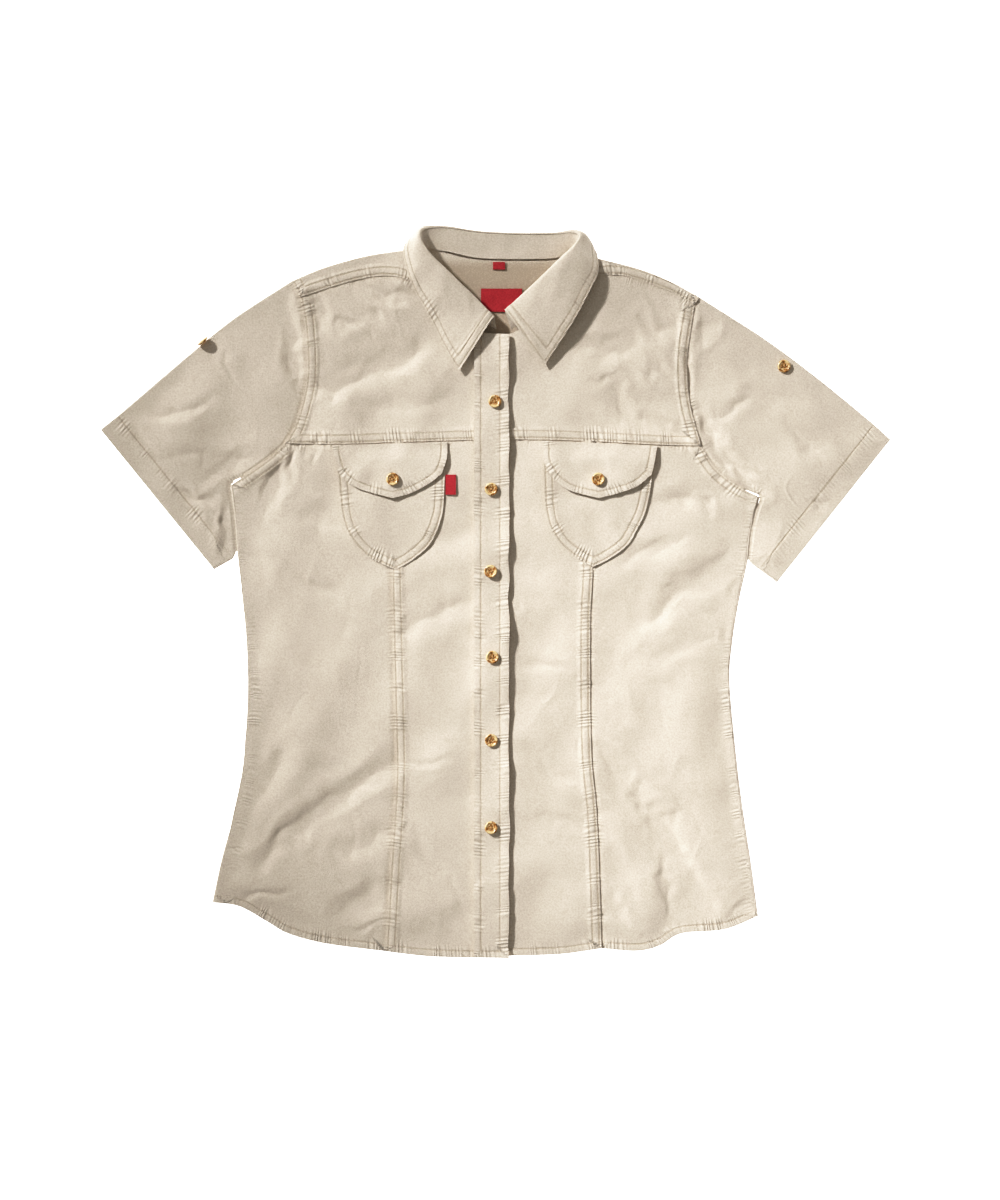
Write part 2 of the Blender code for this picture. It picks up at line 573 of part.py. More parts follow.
def make_sleeve(name, arm, top_edge, by_body, underarm, cuff, cloth):
    """A flattened tube from the armhole to the cuff, its lower layer on the floor."""
    seam = armhole(arm)
    seam[-1] = by_body[0]
    seam = joined(seam, spaced(by_body, ARM_BODY))
    count = len(seam) - 1
    share = np.linspace(0, 1, count + 1)[:, None]
    share = 0.35 * share + 0.65 * share ** 2.2
    cuff_line = (1 - share) * np.array(cuff[0]) + share * np.array(cuff[1])
    top = joined(spaced(top_edge, SLEEVE_ROWS), spaced([top_edge[-1], cuff[0]], BAND_ROWS))
    under = joined(spaced(underarm[:2], SLEEVE_ROWS), spaced(underarm[1:], BAND_ROWS))
    plan = pull_in(coons(seam, cuff_line, top, under), ("bottom",))
    rings = []
    normals = []
    for row in plan:
        ends = [(row[0] - row[1]), (row[-1] - row[-2])]
        ends = [end / np.linalg.norm(end) for end in ends]
        front = []
        back = []
        for k, (x, y) in enumerate(row):
            low = float(back_mid(x, y))
            high = float(front_mid(x, y))
            if k in (0, count):
                radius = (high - low) / 2
                x, y = row[k] - ends[0 if k == 0 else 1] * radius
            front.append((x, y, high))
            back.append((x, y, low))
        middle = [(front[k][2] + back[k][2]) / 2 for k in (0, -1)]
        ring = front + [(*row[-1], middle[1])] + back[::-1] + [(*row[0], middle[0])]
        up = [(0, 0, 1)] * len(front) + [(*ends[1], 0)] + [(0, 0, -1)] * len(back) + [(*ends[0], 0)]
        rings.append(ring)
        normals.append(up)
    rings = np.array(rings)
    normals = np.array(normals)
    faces = grid_faces(*rings.shape[:2], closed=True)
    facing = np.cross(rings[0, 1] - rings[0, 0], rings[1, 0] - rings[0, 0])[2]
    if facing < 0:
        faces = [face[::-1] for face in faces]
    cloth_wall("sleeve_" + name, rings, faces, normals, cloth)


def collar_table():
    """The collar's sections as columns, finely sampled between them."""
    table = np.array(COLLAR_SECTIONS, float)
    steps = COLLAR_STEPS
    fine = smooth_line(table, steps)
    return {name: fine[:, k] for k, name in enumerate(COLLAR_COLUMNS)}


def collar_lines():
    """Fold, outer edge, neck edge and the outward direction at each station."""
    c = collar_table()
    fold = np.column_stack([c["fold_x"], c["fold_y"], c["fold_z"]])
    tucked = np.clip(c["tucked"], 0, 1)
    resting = front_top(c["edge_x"], c["edge_y"]) + HALF
    edge_z = (1 - tucked) * (resting + c["edge_lift"]) + tucked * c["edge_lift"]
    edge = np.column_stack([c["edge_x"], c["edge_y"], np.maximum(edge_z, HALF)])
    neck_z = back_mid(c["neck_x"], c["neck_y"]) + FRONT_RISE + 0.2
    neck_z = neck_z + (1 - tucked) * relief(c["neck_x"], c["neck_y"])
    neck = np.column_stack([c["neck_x"], c["neck_y"], neck_z])
    along = np.gradient(fold[:, :2], axis=0)
    outward = np.column_stack([along[:, 1], -along[:, 0]])
    outward /= -np.linalg.norm(outward, axis=1)[:, None]
    return fold, edge, neck, outward, tucked, c["roll"]


def make_collar(cloth):
    fold, edge, neck, outward, tucked, roll = collar_lines()
    flat_out = np.column_stack([outward, np.zeros(len(outward))])
    up = np.array([0, 0, 1.0])
    seam = fold + flat_out * (2.0 * (1 - tucked[:, None])) - up * 1.5

    stand = []
    for k in range(STAND_ROWS + 1):
        t = k / STAND_ROWS
        stand.append(neck * (1 - t) + seam * t)
    stand = np.array(stand)
    rise = stand[-1] - stand[-2]
    rise /= np.linalg.norm(rise, axis=1)[:, None]
    stand[-1] -= rise * FOLD_SEAM_GAP / 2
    stand_normals = surface_normals(stand)
    cloth_wall("collar_stand", stand, grid_faces(*stand.shape[:2]), stand_normals, cloth)

    control_a = seam + rise * roll[:, None] + up * (2.2 * (1 - tucked[:, None]))
    over = fold + (edge - fold) * 0.5 + flat_out * roll[:, None] * 0.2 + up * 5.0
    under = fold + flat_out * roll[:, None] * 1.9
    under[:, 2] = edge[:, 2]
    control_b = over * (1 - tucked[:, None]) + under * tucked[:, None]
    leaf = []
    for k in range(LEAF_ROWS + 1):
        t = k / LEAF_ROWS
        leaf.append(seam * (1 - t) ** 3 + control_a * (3 * t * (1 - t) ** 2)
                    + control_b * (3 * t * t * (1 - t)) + edge * t ** 3)
    leaf = np.array(leaf)
    leaf[0] += rise * FOLD_SEAM_GAP / 2
    leaf[..., 2] = np.maximum(leaf[..., 2], HALF)
    leaf_normals = surface_normals(leaf)
    leaf_normals[0] = stand_normals[-1]
    cloth_wall("collar_leaf", leaf, grid_faces(*leaf.shape[:2]), leaf_normals, cloth)


def placket_mid(x, y):
    """The placket's middle: on both fronts, its free edge standing a little proud."""
    free = ramp(x, 0, PLACKET_LEFT + PLACKET_WIDTH)
    return front_top(x, y) + CLEAR_ON_PANEL + 0.1 + PLACKET_WALL / 2 + 1.2 * free


def make_placket(cloth):
    right = PLACKET_LEFT + PLACKET_WIDTH
    rows = SIDE_ROWS + ARM_UNDER + ARM_CHEST
    left_line = spaced([(PLACKET_LEFT, -366.0), (PLACKET_LEFT, 258)], rows)
    right_line = spaced([(right, -366.4), (right, 256)], rows)
    bottom = spaced([left_line[0], right_line[0]], 3)
    top = spaced([left_line[-1], right_line[-1]], 3)
    panel("placket", coons(bottom, top, left_line, right_line), cloth, placket_mid, PLACKET_WALL)


def pocket_mid(x, y):
    return front_top(x, y) + CLEAR_ON_PANEL + HALF


def flap_mid(x, y):
    """Flat on the panel at the chest seam, on the pocket below, a little fuller mid-way."""
    over_pocket = ramp(-y, -146, -POCKET_TOP - 2)
    return pocket_mid(x, y) + (CLOTH + 0.5) * over_pocket + 0.8 * ramp(-y, -140, -105)


def patch_grid(outline, across, rows):
    """A pocket's or flap's plan grid, its point a shared corner of the lower edge."""
    left = spaced(outline["side_left"], rows)[::-1]
    right = spaced(outline["side_right"], rows)[::-1]
    lower = joined(spaced(outline["lower"], across), spaced(outline["lower_right"], across))
    upper = spaced([left[-1], right[-1]], 2 * across)
    return coons(lower, upper, left, right)


def make_pockets(cloth):
    for name, outline in (("left", POCKET_LEFT), ("right", POCKET_RIGHT)):
        panel("pocket_" + name, patch_grid(outline, 4, 5), cloth, pocket_mid)
    for name, outline in (("left", FLAP_LEFT), ("right", FLAP_RIGHT)):
        grid = patch_grid(outline, 4, 3)
        grid[-1, :, 1] -= 1.0
        panel("flap_" + name, grid, cloth, flap_mid)


def button_mesh(material):
    """A turned disc with a raised rim, as a profile that is spun once round."""
    profile = [(0, 1.9), (3.6, 1.9), (4.6, 2.6), (5.7, 2.6), (6.5, 1.7), (6.1, 0.5), (4.2, 0), (0, 0)]
    mesh = bpy.data.meshes.new("button")
    scaled = [(r * MM, 0, z * BUTTON_HEIGHT / 2.6 * MM) for r, z in profile]
    mesh.from_pydata(scaled, [(k, k + 1) for k in range(len(profile) - 1)], [])
    mesh.materials.append(material)
    return mesh


def add_button(name, mesh, place, tilt_axis=None, tilt=0):
    item = bpy.data.objects.new(name, mesh)
    bpy.data.collections["safari_shirt"].objects.link(item)
    spin = item.modifiers.new("turned", "SCREW")
    spin.angle = 2 * math.pi
    spin.steps = BUTTON_STEPS
    spin.render_steps = BUTTON_STEPS
    spin.use_merge_vertices = True
    spin.merge_threshold = 0.00001
    item.location = [float(value) * MM for value in place]
    if tilt_axis is not None:
        item.rotation_mode = "AXIS_ANGLE"
        item.rotation_axis_angle = (tilt, *tilt_axis)
    return item


def resting_height(height, x, y, half_wall):
    """The highest point of the cloth that a button at this place touches."""
    angles = np.linspace(0, 2 * math.pi, 13)
    xs = x + BUTTON_RADIUS * 0.65 * np.cos(angles)
    ys = y + BUTTON_RADIUS * 0.65 * np.sin(angles)
    return float(np.max(height(xs, ys))) + half_wall + LAYER_GAP


def make_buttons(horn):
    mesh = button_mesh(horn)
    for number, (x, y) in enumerate(PLACKET_BUTTONS, 1):
        z = resting_height(placket_mid, x, y, PLACKET_WALL / 2)
        add_button("button_front_%d" % number, mesh, (x, y, z))
    for side, (x, y) in FLAP_BUTTONS.items():
        add_button("button_flap_" + side, mesh, (x, y, resting_height(flap_mid, x, y, HALF)))
    x, y = SLEEVE_BUTTON_RIGHT
    add_button("button_sleeve_right", mesh, (x, y, resting_height(front_mid, x, y, HALF)))
    fold = spaced(SLEEVE_TOP_LEFT, 200)
    at = int(np.argmin(np.abs(fold[:, 0] - SLEEVE_BUTTON_LEFT_X)))
    edge = fold[at + 1] - fold[at - 1]
    edge /= np.linalg.norm(edge)
    stand_off = BUTTON_RADIUS * math.sin(SLEEVE_BUTTON_TILT) + SLEEVE_BUTTON_FLOOR
    add_button("button_sleeve_left", mesh, (*fold[at], stand_off), (*edge, 0), SLEEVE_BUTTON_TILT)


def make_labels(red):
    for name, sizes, layer in (("neck_label", NECK_LABEL, back_mid), ("size_tab", SIZE_TAB, back_mid),
                               ("pocket_tab", POCKET_TAB, front_mid)):
        x0, x1 = sizes["x"]
        y0, y1 = sizes["y"]
        bottom = spaced([(x0, y0), (x1, y0)], 2)
        top = spaced([(x0, y1), (x1, y1)], 2)
        grid = coons(bottom, top, spaced([(x0, y0), (x0, y1)], 2), spaced([(x1, y0), (x1, y1)], 2))
        wall = sizes["wall"]
        panel(name, grid, red, lambda x, y: layer(x, y) + HALF + LABEL_GAP + wall / 2, wall)


def main():
    clear_scene()
    collection = bpy.data.collections.new("safari_shirt")
    bpy.context.scene.collection.children.link(collection)
    cloth = make_material("twill", (0.72, 0.65, 0.53), 0.9)
    horn = make_material("button", (0.55, 0.33, 0.14), 0.3)
    red = make_material("label", (0.55, 0.03, 0.05), 0.75)
    make_back(cloth)
    make_yoke(cloth)
    make_fronts(cloth)
    make_sleeve("left", ARMHOLE_LEFT, SLEEVE_TOP_LEFT, SLEEVE_BY_BODY_LEFT, UNDERARM_LEFT, CUFF_LEFT, cloth)
    make_sleeve("right", ARMHOLE_RIGHT, SLEEVE_TOP_RIGHT, SLEEVE_BY_BODY_RIGHT, UNDERARM_RIGHT, CUFF_RIGHT,
                cloth)
    make_collar(cloth)
    make_placket(cloth)
    make_pockets(cloth)
    make_buttons(horn)
    make_labels(red)


main()
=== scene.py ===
"""A short-sleeved safari shirt in beige cotton twill, laid flat on its back and buttoned.

Tables are in millimetres, meshes in metres, +X the viewer's right and +Y towards the collar.
Left and right are the viewer's.
"""
import math

import bpy
import numpy as np
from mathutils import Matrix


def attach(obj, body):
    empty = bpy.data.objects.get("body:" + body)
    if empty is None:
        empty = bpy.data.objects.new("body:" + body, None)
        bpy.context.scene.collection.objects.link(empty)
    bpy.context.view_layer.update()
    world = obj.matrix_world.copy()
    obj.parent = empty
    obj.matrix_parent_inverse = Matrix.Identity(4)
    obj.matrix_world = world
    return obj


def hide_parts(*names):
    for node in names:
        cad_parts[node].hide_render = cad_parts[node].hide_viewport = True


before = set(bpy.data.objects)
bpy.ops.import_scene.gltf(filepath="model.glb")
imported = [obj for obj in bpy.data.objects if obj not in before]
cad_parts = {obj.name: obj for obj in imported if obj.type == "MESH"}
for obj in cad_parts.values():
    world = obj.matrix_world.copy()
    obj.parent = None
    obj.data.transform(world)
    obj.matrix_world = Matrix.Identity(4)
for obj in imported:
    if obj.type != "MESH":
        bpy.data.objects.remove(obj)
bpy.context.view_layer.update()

MM = 0.001
CLOTH = 1.2            # wall of a single cut piece
SEAM_GAP = 0.3         # between two pieces that are sewn edge to edge
FOLD_SEAM_GAP = 0.6    # mid-wall gap at the collar's seam, 0.3 on the inside of its bend
LAYER_GAP = 0.3        # between two layers that lie on each other
HALF = CLOTH / 2

PUFF = 3.2             # how far the front floats above the back, well inside the outline
PUFF_REACH = 26.0      # distance from the outline where it has nearly risen
COLLAR_LIFT = 1.9      # the yoke lies this much higher where the leaf is tucked under it

ARM_STRIP = 2          # armhole samples along the shoulder strip, the chest and below the chest seam
ARM_CHEST = 6
ARM_UNDER = 4
ARM_BODY = 4           # sleeve samples beside the body, from the armpit to the underarm fold
YOKE_ROWS = 5          # armhole samples from the shoulder fold down to the back yoke's seam

PLACKET_WIDTH = 35.0
PLACKET_WALL = 2.0
PLACKET_LEFT = -21.5   # its sewn edge; the other edge is free
CLEAR_ON_PANEL = 0.5   # what lies on a panel keeps this from it
POCKET_TOP = 127.0

BUTTON_RADIUS = 6.5

# Outlines, as x and y of the points that the shape needs
SIDE_LEFT = [(-282.5, -311), (-273.5, -269), (-262.5, -229), (-247.5, -169), (-243.5, -109),
             (-246.5, -49), (-253.5, 5), (-258.0, 42), (-260.0, 69), (-264.5, 106)]
SIDE_RIGHT = [(262.0, -325), (254.5, -269), (245.5, -209), (238.5, -149), (233.5, -89),
              (236.5, -49), (243.0, -9), (251.5, 30), (255.0, 60), (263.5, 94)]
HEM_LEFT = [(-282.5, -311), (-256.0, -315), (-228.5, -330), (-207.5, -342), (-170.5, -352), (-109.5, -360)]
HEM_FRONT_LEFT = [(-109.5, -360), (-65.5, -365), (-13.5, -366.4)]
HEM_FRONT_RIGHT = [(-12.9, -364.5), (60.5, -363), (106.0, -357)]
HEM_RIGHT = [(106.0, -357), (141.5, -359.5), (164.5, -354), (186.0, -342), (228.5, -338), (262.0, -325)]
PRINCESS_LEFT = [(-109.5, -360), (-104.5, -272), (-99.5, -187), (-100.5, -117), (-103.5, 20),
                 (-103.5, 148.5)]
PRINCESS_RIGHT = [(106.0, -357), (101.5, -230), (95.5, -157), (94.5, -33), (97.0, 24), (98.5, 149.5)]
CHEST_LEFT = [(-209.5, 147.5), (-162.5, 146.5), (-103.5, 148.5)]
CHEST_FRONT_LEFT = [(-103.5, 148.5), (-48.5, 150), (-13.5, 151)]
CHEST_FRONT_RIGHT = [(-12.9, 151.5), (47.5, 151), (98.5, 149.5)]
CHEST_RIGHT = [(98.5, 149.5), (161.5, 146), (205.0, 145.0)]
ARMHOLE_LEFT = {
    "strip": [(-203.5, 309.5), (-199.6, 302), (-195.0, 293.5)],
    "chest": [(-195.0, 293.5), (-189.5, 260), (-188.5, 212), (-198.5, 170), (-209.5, 147.5)],
    "under": [(-209.5, 147.5), (-224.0, 134), (-243.0, 120), (-264.5, 106)],
}
ARMHOLE_RIGHT = {
    "strip": [(204.0, 293.0), (201.5, 290), (199.0, 286.5)],
    "chest": [(199.0, 286.5), (191.5, 235), (193.5, 191), (205.0, 145.0)],
    "under": [(205.0, 145.0), (220.5, 122), (240.0, 106), (263.5, 94)],
}
SHOULDER_LEFT = [(-203.5, 309.5), (-170.5, 323), (-126.5, 335), (-83.5, 341), (-72.0, 343)]
SHOULDER_RIGHT = [(83.0, 337), (95.5, 333.5), (138.5, 323), (170.5, 311), (204.0, 293)]
STRIP_SEAM_LEFT = [(-195.0, 293.5), (-159.5, 305), (-125.5, 313.5), (-97.5, 313.5), (-70.0, 303)]
STRIP_SEAM_RIGHT = [(84.0, 312), (101.5, 315), (132.5, 314), (175.5, 299), (199.0, 286.5)]
NECK_BACK = [(-72.0, 343), (-50.0, 338), (-25.0, 332), (14.5, 330), (60.0, 331), (83.0, 337)]
NECK_FRONT_LEFT = [(-13.5, 262.5), (-31.0, 277), (-53.0, 293), (-70.0, 303)]
NECK_FRONT_RIGHT = [(-12.9, 255), (17.0, 257.5), (38.0, 273), (60.0, 292), (84.0, 312)]
SLEEVE_TOP_LEFT = [(-203.5, 309.5), (-262.5, 271), (-311.5, 231), (-374.5, 177)]
SLEEVE_TOP_RIGHT = [(204.0, 293.0), (269.5, 251), (324.5, 210), (377.0, 167)]
SLEEVE_BY_BODY_LEFT = [(-265.0, 107.0), (-262.6, 88), (-260.3, 64), (-258.0, 38.5)]
SLEEVE_BY_BODY_RIGHT = [(264.0, 95.2), (260.3, 80), (255.8, 60), (252.3, 29.5)]
UNDERARM_LEFT = [(-259.6, 38.5), (-263.0, 32.5), (-281.5, 22)]
UNDERARM_RIGHT = [(253.9, 29.5), (261.5, 23.5), (281.5, 9)]
CUFF_LEFT = [(-394.4, 161), (-281.5, 22)]
CUFF_RIGHT = [(394.4, 151), (281.5, 9)]

# How far the back wraps round to the front along the side seams
LIP_LEFT = {"y": [-311, -269, -189, -149, 106], "width": [14.0, 12.0, 5.5, 2.2, 1.8]}
LIP_RIGHT = {"y": [-325, -229, -129, -60, 94], "width": [5.0, 4.0, 2.6, 1.8, 1.8]}

# The largest folds, as in the solids: where each starts and ends, its half width, and its
# height above the floating front, negative for a trough
FOLDS = [
    (-101, -171, -238, -272, 15, -3.4), (-106, -300, -158, -326, 15, -2.2),
    (-208, -166, -244, -208, 15, -2.6), (104, -160, 206, -312, 15, -3.4),
    (168, -272, 184, -342, 13, -2.2), (152, -29, 238, 26, 16, -2.6), (170, 89, 205, 92, 13, -2.2),
    (-212, 124, -233, 76, 14, -3.6), (-178, 292, -172, 260, 13, -3.2), (-186, 202, -70, 246, 15, -3.0),
    (160, 300, 180, 258, 13, -3.2), (110, 200, 188, 158, 14, -2.8), (-214, 298, -199, 212, 13, -3.2),
    (-286, 116, -246, 130, 14, -2.6), (208, 174, 222, 142, 13, -3.0), (294, 164, 328, 138, 14, -2.2),
    (-60, -60, -60, -240, 46, 1.6), (165, -70, 190, -180, 50, 2.4), (-180, -40, -175, -140, 50, 2.0),
    (-300, 200, -320, 110, 34, 2.4), (290, 190, 320, 100, 34, 2.4),
]

# Collar sections from the left front end round the back to the right front end: the fold at
# the top of the stand, the leaf's outer edge with its height over the cloth below it (or over
# the floor where it is tucked under), the stand's sewn edge, and how far the fold rolls out
COLLAR_COLUMNS = ("fold_x", "fold_y", "fold_z", "edge_x", "edge_y", "edge_lift", "tucked",
                  "neck_x", "neck_y", "roll")
COLLAR_SECTIONS = [
    (0.5, 274, 12.5, -36.5, 219, 1.6, 0, 1.0, 261.5, 4),
    (-18.5, 293, 13.5, -52.5, 247, 1.6, 0, -28.5, 279.0, 5),
    (-38.0, 311, 16.0, -67.0, 276, 1.8, 0, -50.0, 295.5, 6),
    (-60.0, 332, 19.0, -82.0, 303, 1.8, 0, -67.5, 306.5, 7),
    (-70.5, 346, 18.0, -89.0, 323, 2.2, 0, -68.8, 326.0, 7),
    (-72.0, 355, 14.5, -92.0, 341, 2.2, 0, -68.6, 336.0, 6),
    (-69.5, 360, 11.0, -84.0, 350, 1.6, 1, -67.0, 341.5, 5),
    (-60.5, 362, 8.5, -66.0, 331, 0.6, 1, -60.0, 340.5, 4),
    (-45.0, 362, 7.0, -47.0, 318, 0.6, 1, -46.0, 338.6, 3.6),
    (-18.0, 358, 6.6, -18.0, 317, 0.6, 1, -18.0, 332.6, 3.2),
    (20.0, 356, 6.4, 20.0, 316, 0.6, 1, 20.0, 331.4, 3.0),
    (58.0, 356, 7.0, 57.0, 317, 0.6, 1, 57.0, 332.3, 3.4),
    (76.0, 357, 10.0, 84.0, 327, 0.6, 1, 75.0, 336.0, 5),
    (83.5, 352, 15.0, 99.0, 340, 1.4, 1, 80.5, 334.0, 7),
    (75.0, 342, 19.0, 102.0, 318, 6.0, 0, 81.8, 324.0, 8),
    (59.5, 327, 20.0, 95.0, 302, 9.0, 0, 79.5, 310.5, 8),
    (40.0, 309, 17.0, 82.0, 276, 9.0, 0, 56.5, 292.5, 7),
    (22.0, 293, 14.0, 65.5, 250, 5.0, 0, 35.5, 275.5, 5),
    (8.0, 281, 12.5, 48.5, 224.5, 2.4, 0, 15.5, 261.0, 4),
]
COLLAR_STEPS = 12      # mesh steps between two sections
LEAF_ROWS = 28
STAND_ROWS = 14

# Pocket and flap outlines: the left side from the top down, then the lower edge to the right
POCKET_LEFT = {
    "side_left": [(-159.0, POCKET_TOP), (-156.0, 105), (-154.0, 80), (-149.5, 62)],
    "lower": [(-149.5, 62), (-139.5, 46), (-125.5, 33.5), (-100.0, 21)],
    "lower_right": [(-100.0, 21), (-83.0, 31), (-66.0, 46), (-57.5, 62)],
    "side_right": [(-50.0, POCKET_TOP), (-51.0, 105), (-52.5, 80), (-57.5, 62)],
}
POCKET_RIGHT = {
    "side_left": [(48.0, POCKET_TOP), (48.5, 105), (49.5, 84), (53.0, 66)],
    "lower": [(53.0, 66), (64.5, 47), (80.0, 34), (97.5, 24)],
    "lower_right": [(97.5, 24), (115.0, 33), (132.0, 46), (141.5, 62)],
    "side_right": [(157.0, POCKET_TOP), (155.0, 105), (149.5, 79), (141.5, 62)],
}
FLAP_LEFT = {
    "side_left": [(-162.5, 146), (-161.0, 133), (-156.5, 118)],
    "lower": [(-156.5, 118), (-147.5, 109), (-133.5, 101), (-102.5, 92.5)],
    "lower_right": [(-102.5, 92.5), (-83.5, 98), (-65.0, 108), (-53.5, 117)],
    "side_right": [(-48.0, 149.5), (-48.5, 133), (-53.5, 117)],
}
FLAP_RIGHT = {
    "side_left": [(47.5, 150.5), (48.5, 129), (56.5, 113.5)],
    "lower": [(56.5, 113.5), (70.5, 102), (85.0, 97), (103.0, 92.5)],
    "lower_right": [(103.0, 92.5), (120.5, 97), (140.5, 104), (155.5, 116)],
    "side_right": [(161.5, 145.5), (158.5, 128), (155.5, 116)],
}

PLACKET_BUTTONS = [(-0.5, 189), (-4.2, 101.5), (-4.7, 19.5), (-3.2, -66), (-4.1, -149), (-4.3, -236)]
FLAP_BUTTONS = {"left": (-102.5, 111.4), "right": (102.3, 111.4)}
SLEEVE_BUTTON_RIGHT = (288.0, 224.3)
SLEEVE_BUTTON_LEFT_X = -291.5          # it stands on edge against the sleeve's fold there
SLEEVE_BUTTON_TILT = math.radians(78)
SLEEVE_BUTTON_FLOOR = 0.5

NECK_LABEL = {"x": (-14.5, 26.5), "y": (279, 302), "wall": 1.0}
SIZE_TAB = {"x": (-2.5, 9.5), "y": (321, 328.5), "wall": 1.0}
LABEL_GAP = 0.45
POCKET_TAB = {"x": (-49.8, -39.5), "y": (96, 116), "wall": 1.2}

FLOOR_MID = HALF       # middle of a layer that lies on the floor
FRONT_RISE = CLOTH + LAYER_GAP

WALL = 1.0             # shown wall of a single cut piece
STEP = 2.1             # spacing of the cloth's mesh
LAP_RISE = 0.9         # a lapping edge lies this much higher
LAP_WIDTH = 10.0
UNDER_REACH = 2.0      # a lapped edge goes on this far below its neighbour
UNDER_DROP = 0.6
DIP = 0.28             # how far a stitch row pulls the cloth down, and the dip's half width
DIP_WIDTH = 1.5
PUCKER_LENGTH = 3.8    # from one seam pucker to the next
LAP_STITCHES = (2.0, 8.6)
LEAF_STITCHES = (2.0, 8.0)
HEM = dict(rows=(6.6,), rise=0.4, width=7.4, pucker=1.3)
SLEEVE_HEM = dict(rows=(22.0,), rise=0.35, width=22.6, pucker=0.9)
THREAD_PROUD = 0.12    # middle of a stitch above the cloth, on flat pieces and on the leaf
THREAD_SUNK = 0.05
BEHIND_FLOOR = 0.0002  # the backdrop lies this many metres below the shirt

# Creases: where each starts and ends, half width, height (negative for a trough)
CREASES = [
    (-101, -171, -195, -229, 9, -2.6), (-195, -229, -238, -274, 8, -2.4),
    (-103, -241, -155, -261, 10, -1.8), (-110, -294, -155, -319, 10, -1.8),
    (-110, -326, -148, -341, 3, -1.2), (-263, -304, -210, -300, 5, -2.0),
    (-209, -164, -245, -209, 9, -2.0), (-95, -41, -25, -9, 10, -1.8),
    (-88, -234, -25, -319, 6, -0.8), (-153, -11, -120, -41, 5, 1.0),
    (-137, -9, -137, -149, 2, -0.3), (-205, 19, -163, -6, 10, -1.5),
    (-88, -171, -45, -169, 6, -1.0), (-90, 40, -30, 55, 12, -1.0),
    (101, -156, 144, -201, 8, -1.8), (144, -201, 169, -234, 9, -2.8),
    (169, -234, 191, -269, 9, -3.0), (191, -269, 211, -319, 8, -1.8),
    (169, -269, 169, -306, 6, -1.8), (169, -306, 184, -344, 6, -1.8),
    (106, -304, 131, -331, 8, -2.0), (101, -99, 129, -131, 12, -1.2),
    (151, -29, 184, -1, 10, -1.6), (184, -1, 244, 26, 10, -1.6),
    (144, -71, 206, -44, 10, -1.2), (229, -39, 228, -37, 5, -1.5), (236, 1, 235, 3, 5, -1.5),
    (21, -159, 81, -191, 10, -1.2), (49, -226, 86, -234, 6, -1.0), (24, -71, 69, -76, 6, -1.0),
    (16, -1, 74, -24, 12, -1.0), (234, -324, 259, -314, 4, -1.0), (99, -219, 149, -331, 8, -0.8),
    (-180, 291, -175, 259, 7, -2.6), (-165, 266, -138, 269, 7, -2.4),
    (-130, 281, -118, 271, 8, -2.0), (-138, 304, -78, 291, 8, -2.2),
    (-188, 204, -165, 196, 8, -2.2), (-165, 196, -95, 229, 9, -2.2), (-95, 229, -68, 249, 9, -1.8),
    (-133, 184, -55, 189, 12, -1.5), (-213, 124, -233, 76, 7, -3.2), (-198, 146, -203, 111, 4, -2.4),
    (-185, 146, -185, 126, 4, -1.5), (-205, 84, -155, 64, 10, -1.5), (-255, 41, -230, 21, 10, -1.5),
    (-215, 301, -203, 256, 7, -3.2), (-203, 256, -198, 211, 7, -3.2),
    (-340, 181, -323, 176, 8, -1.8), (-323, 176, -288, 189, 8, -1.8), (-273, 239, -258, 211, 4, -1.2),
    (-343, 134, -265, 134, 8, -1.0), (-285, 116, -245, 131, 8, -2.2), (-313, 99, -283, 91, 6, -1.8),
    (-370, 169, -345, 146, 6, -1.5), (-263, 79, -270, 39, 5, -4.0),
    (161, 301, 179, 261, 6, -2.8), (144, 269, 171, 256, 7, -2.4), (89, 239, 134, 241, 10, -2.2),
    (151, 236, 169, 211, 6, -2.0), (94, 216, 116, 214, 8, -1.5), (114, 201, 131, 176, 8, -2.0),
    (131, 176, 144, 169, 8, -2.0), (149, 171, 189, 155, 7, -2.4), (206, 176, 219, 146, 7, -3.0),
    (219, 141, 264, 99, 7, -3.2), (226, 176, 259, 196, 8, -1.5), (294, 164, 326, 139, 9, -1.6),
    (214, 281, 209, 251, 6, -2.4), (194, 246, 194, 201, 4, -1.6), (314, 89, 331, 79, 4, -1.5),
    (164, 89, 199, 91, 7, -1.6), (209, 94, 211, 76, 4, -1.5), (221, 111, 222, 109, 3, -1.2),
    (169, 4, 241, 39, 10, -1.6), (134, 34, 184, 51, 10, -1.8), (16, 91, 51, 61, 10, -1.0),
]


def smooth_line(table, steps=12):
    """A Catmull-Rom curve through the table's points, finely sampled."""
    points = np.array(table, float)
    ends = np.vstack([2 * points[0] - points[1], points, 2 * points[-1] - points[-2]])
    line = []
    for a, b, c, d in zip(ends, ends[1:], ends[2:], ends[3:]):
        for step in range(steps):
            t = step / steps
            line.append(0.5 * (2 * b + (c - a) * t + (2 * a - 5 * b + 4 * c - d) * t ** 2
                               + (3 * b - a - 3 * c + d) * t ** 3))
    line.append(points[-1])
    return np.array(line)


def spaced(table, count):
    """count + 1 points at even distances along the smooth line through a table."""
    line = smooth_line(table)
    run = np.r_[0, np.cumsum(np.linalg.norm(np.diff(line, axis=0), axis=1))]
    at = np.linspace(0, run[-1], count + 1)
    return np.column_stack([np.interp(at, run, line[:, k]) for k in range(line.shape[1])])


def joined(*lines):
    """Lines that meet end to end, as one."""
    return np.vstack([lines[0]] + [line[1:] for line in lines[1:]])


def run_fractions(line_a, line_b):
    """The mean share of the way along two lines at each of their points."""
    shares = []
    for line in (line_a, line_b):
        run = np.r_[0, np.cumsum(np.linalg.norm(np.diff(line, axis=0), axis=1))]
        shares.append(run / run[-1])
    return (shares[0] + shares[1]) / 2


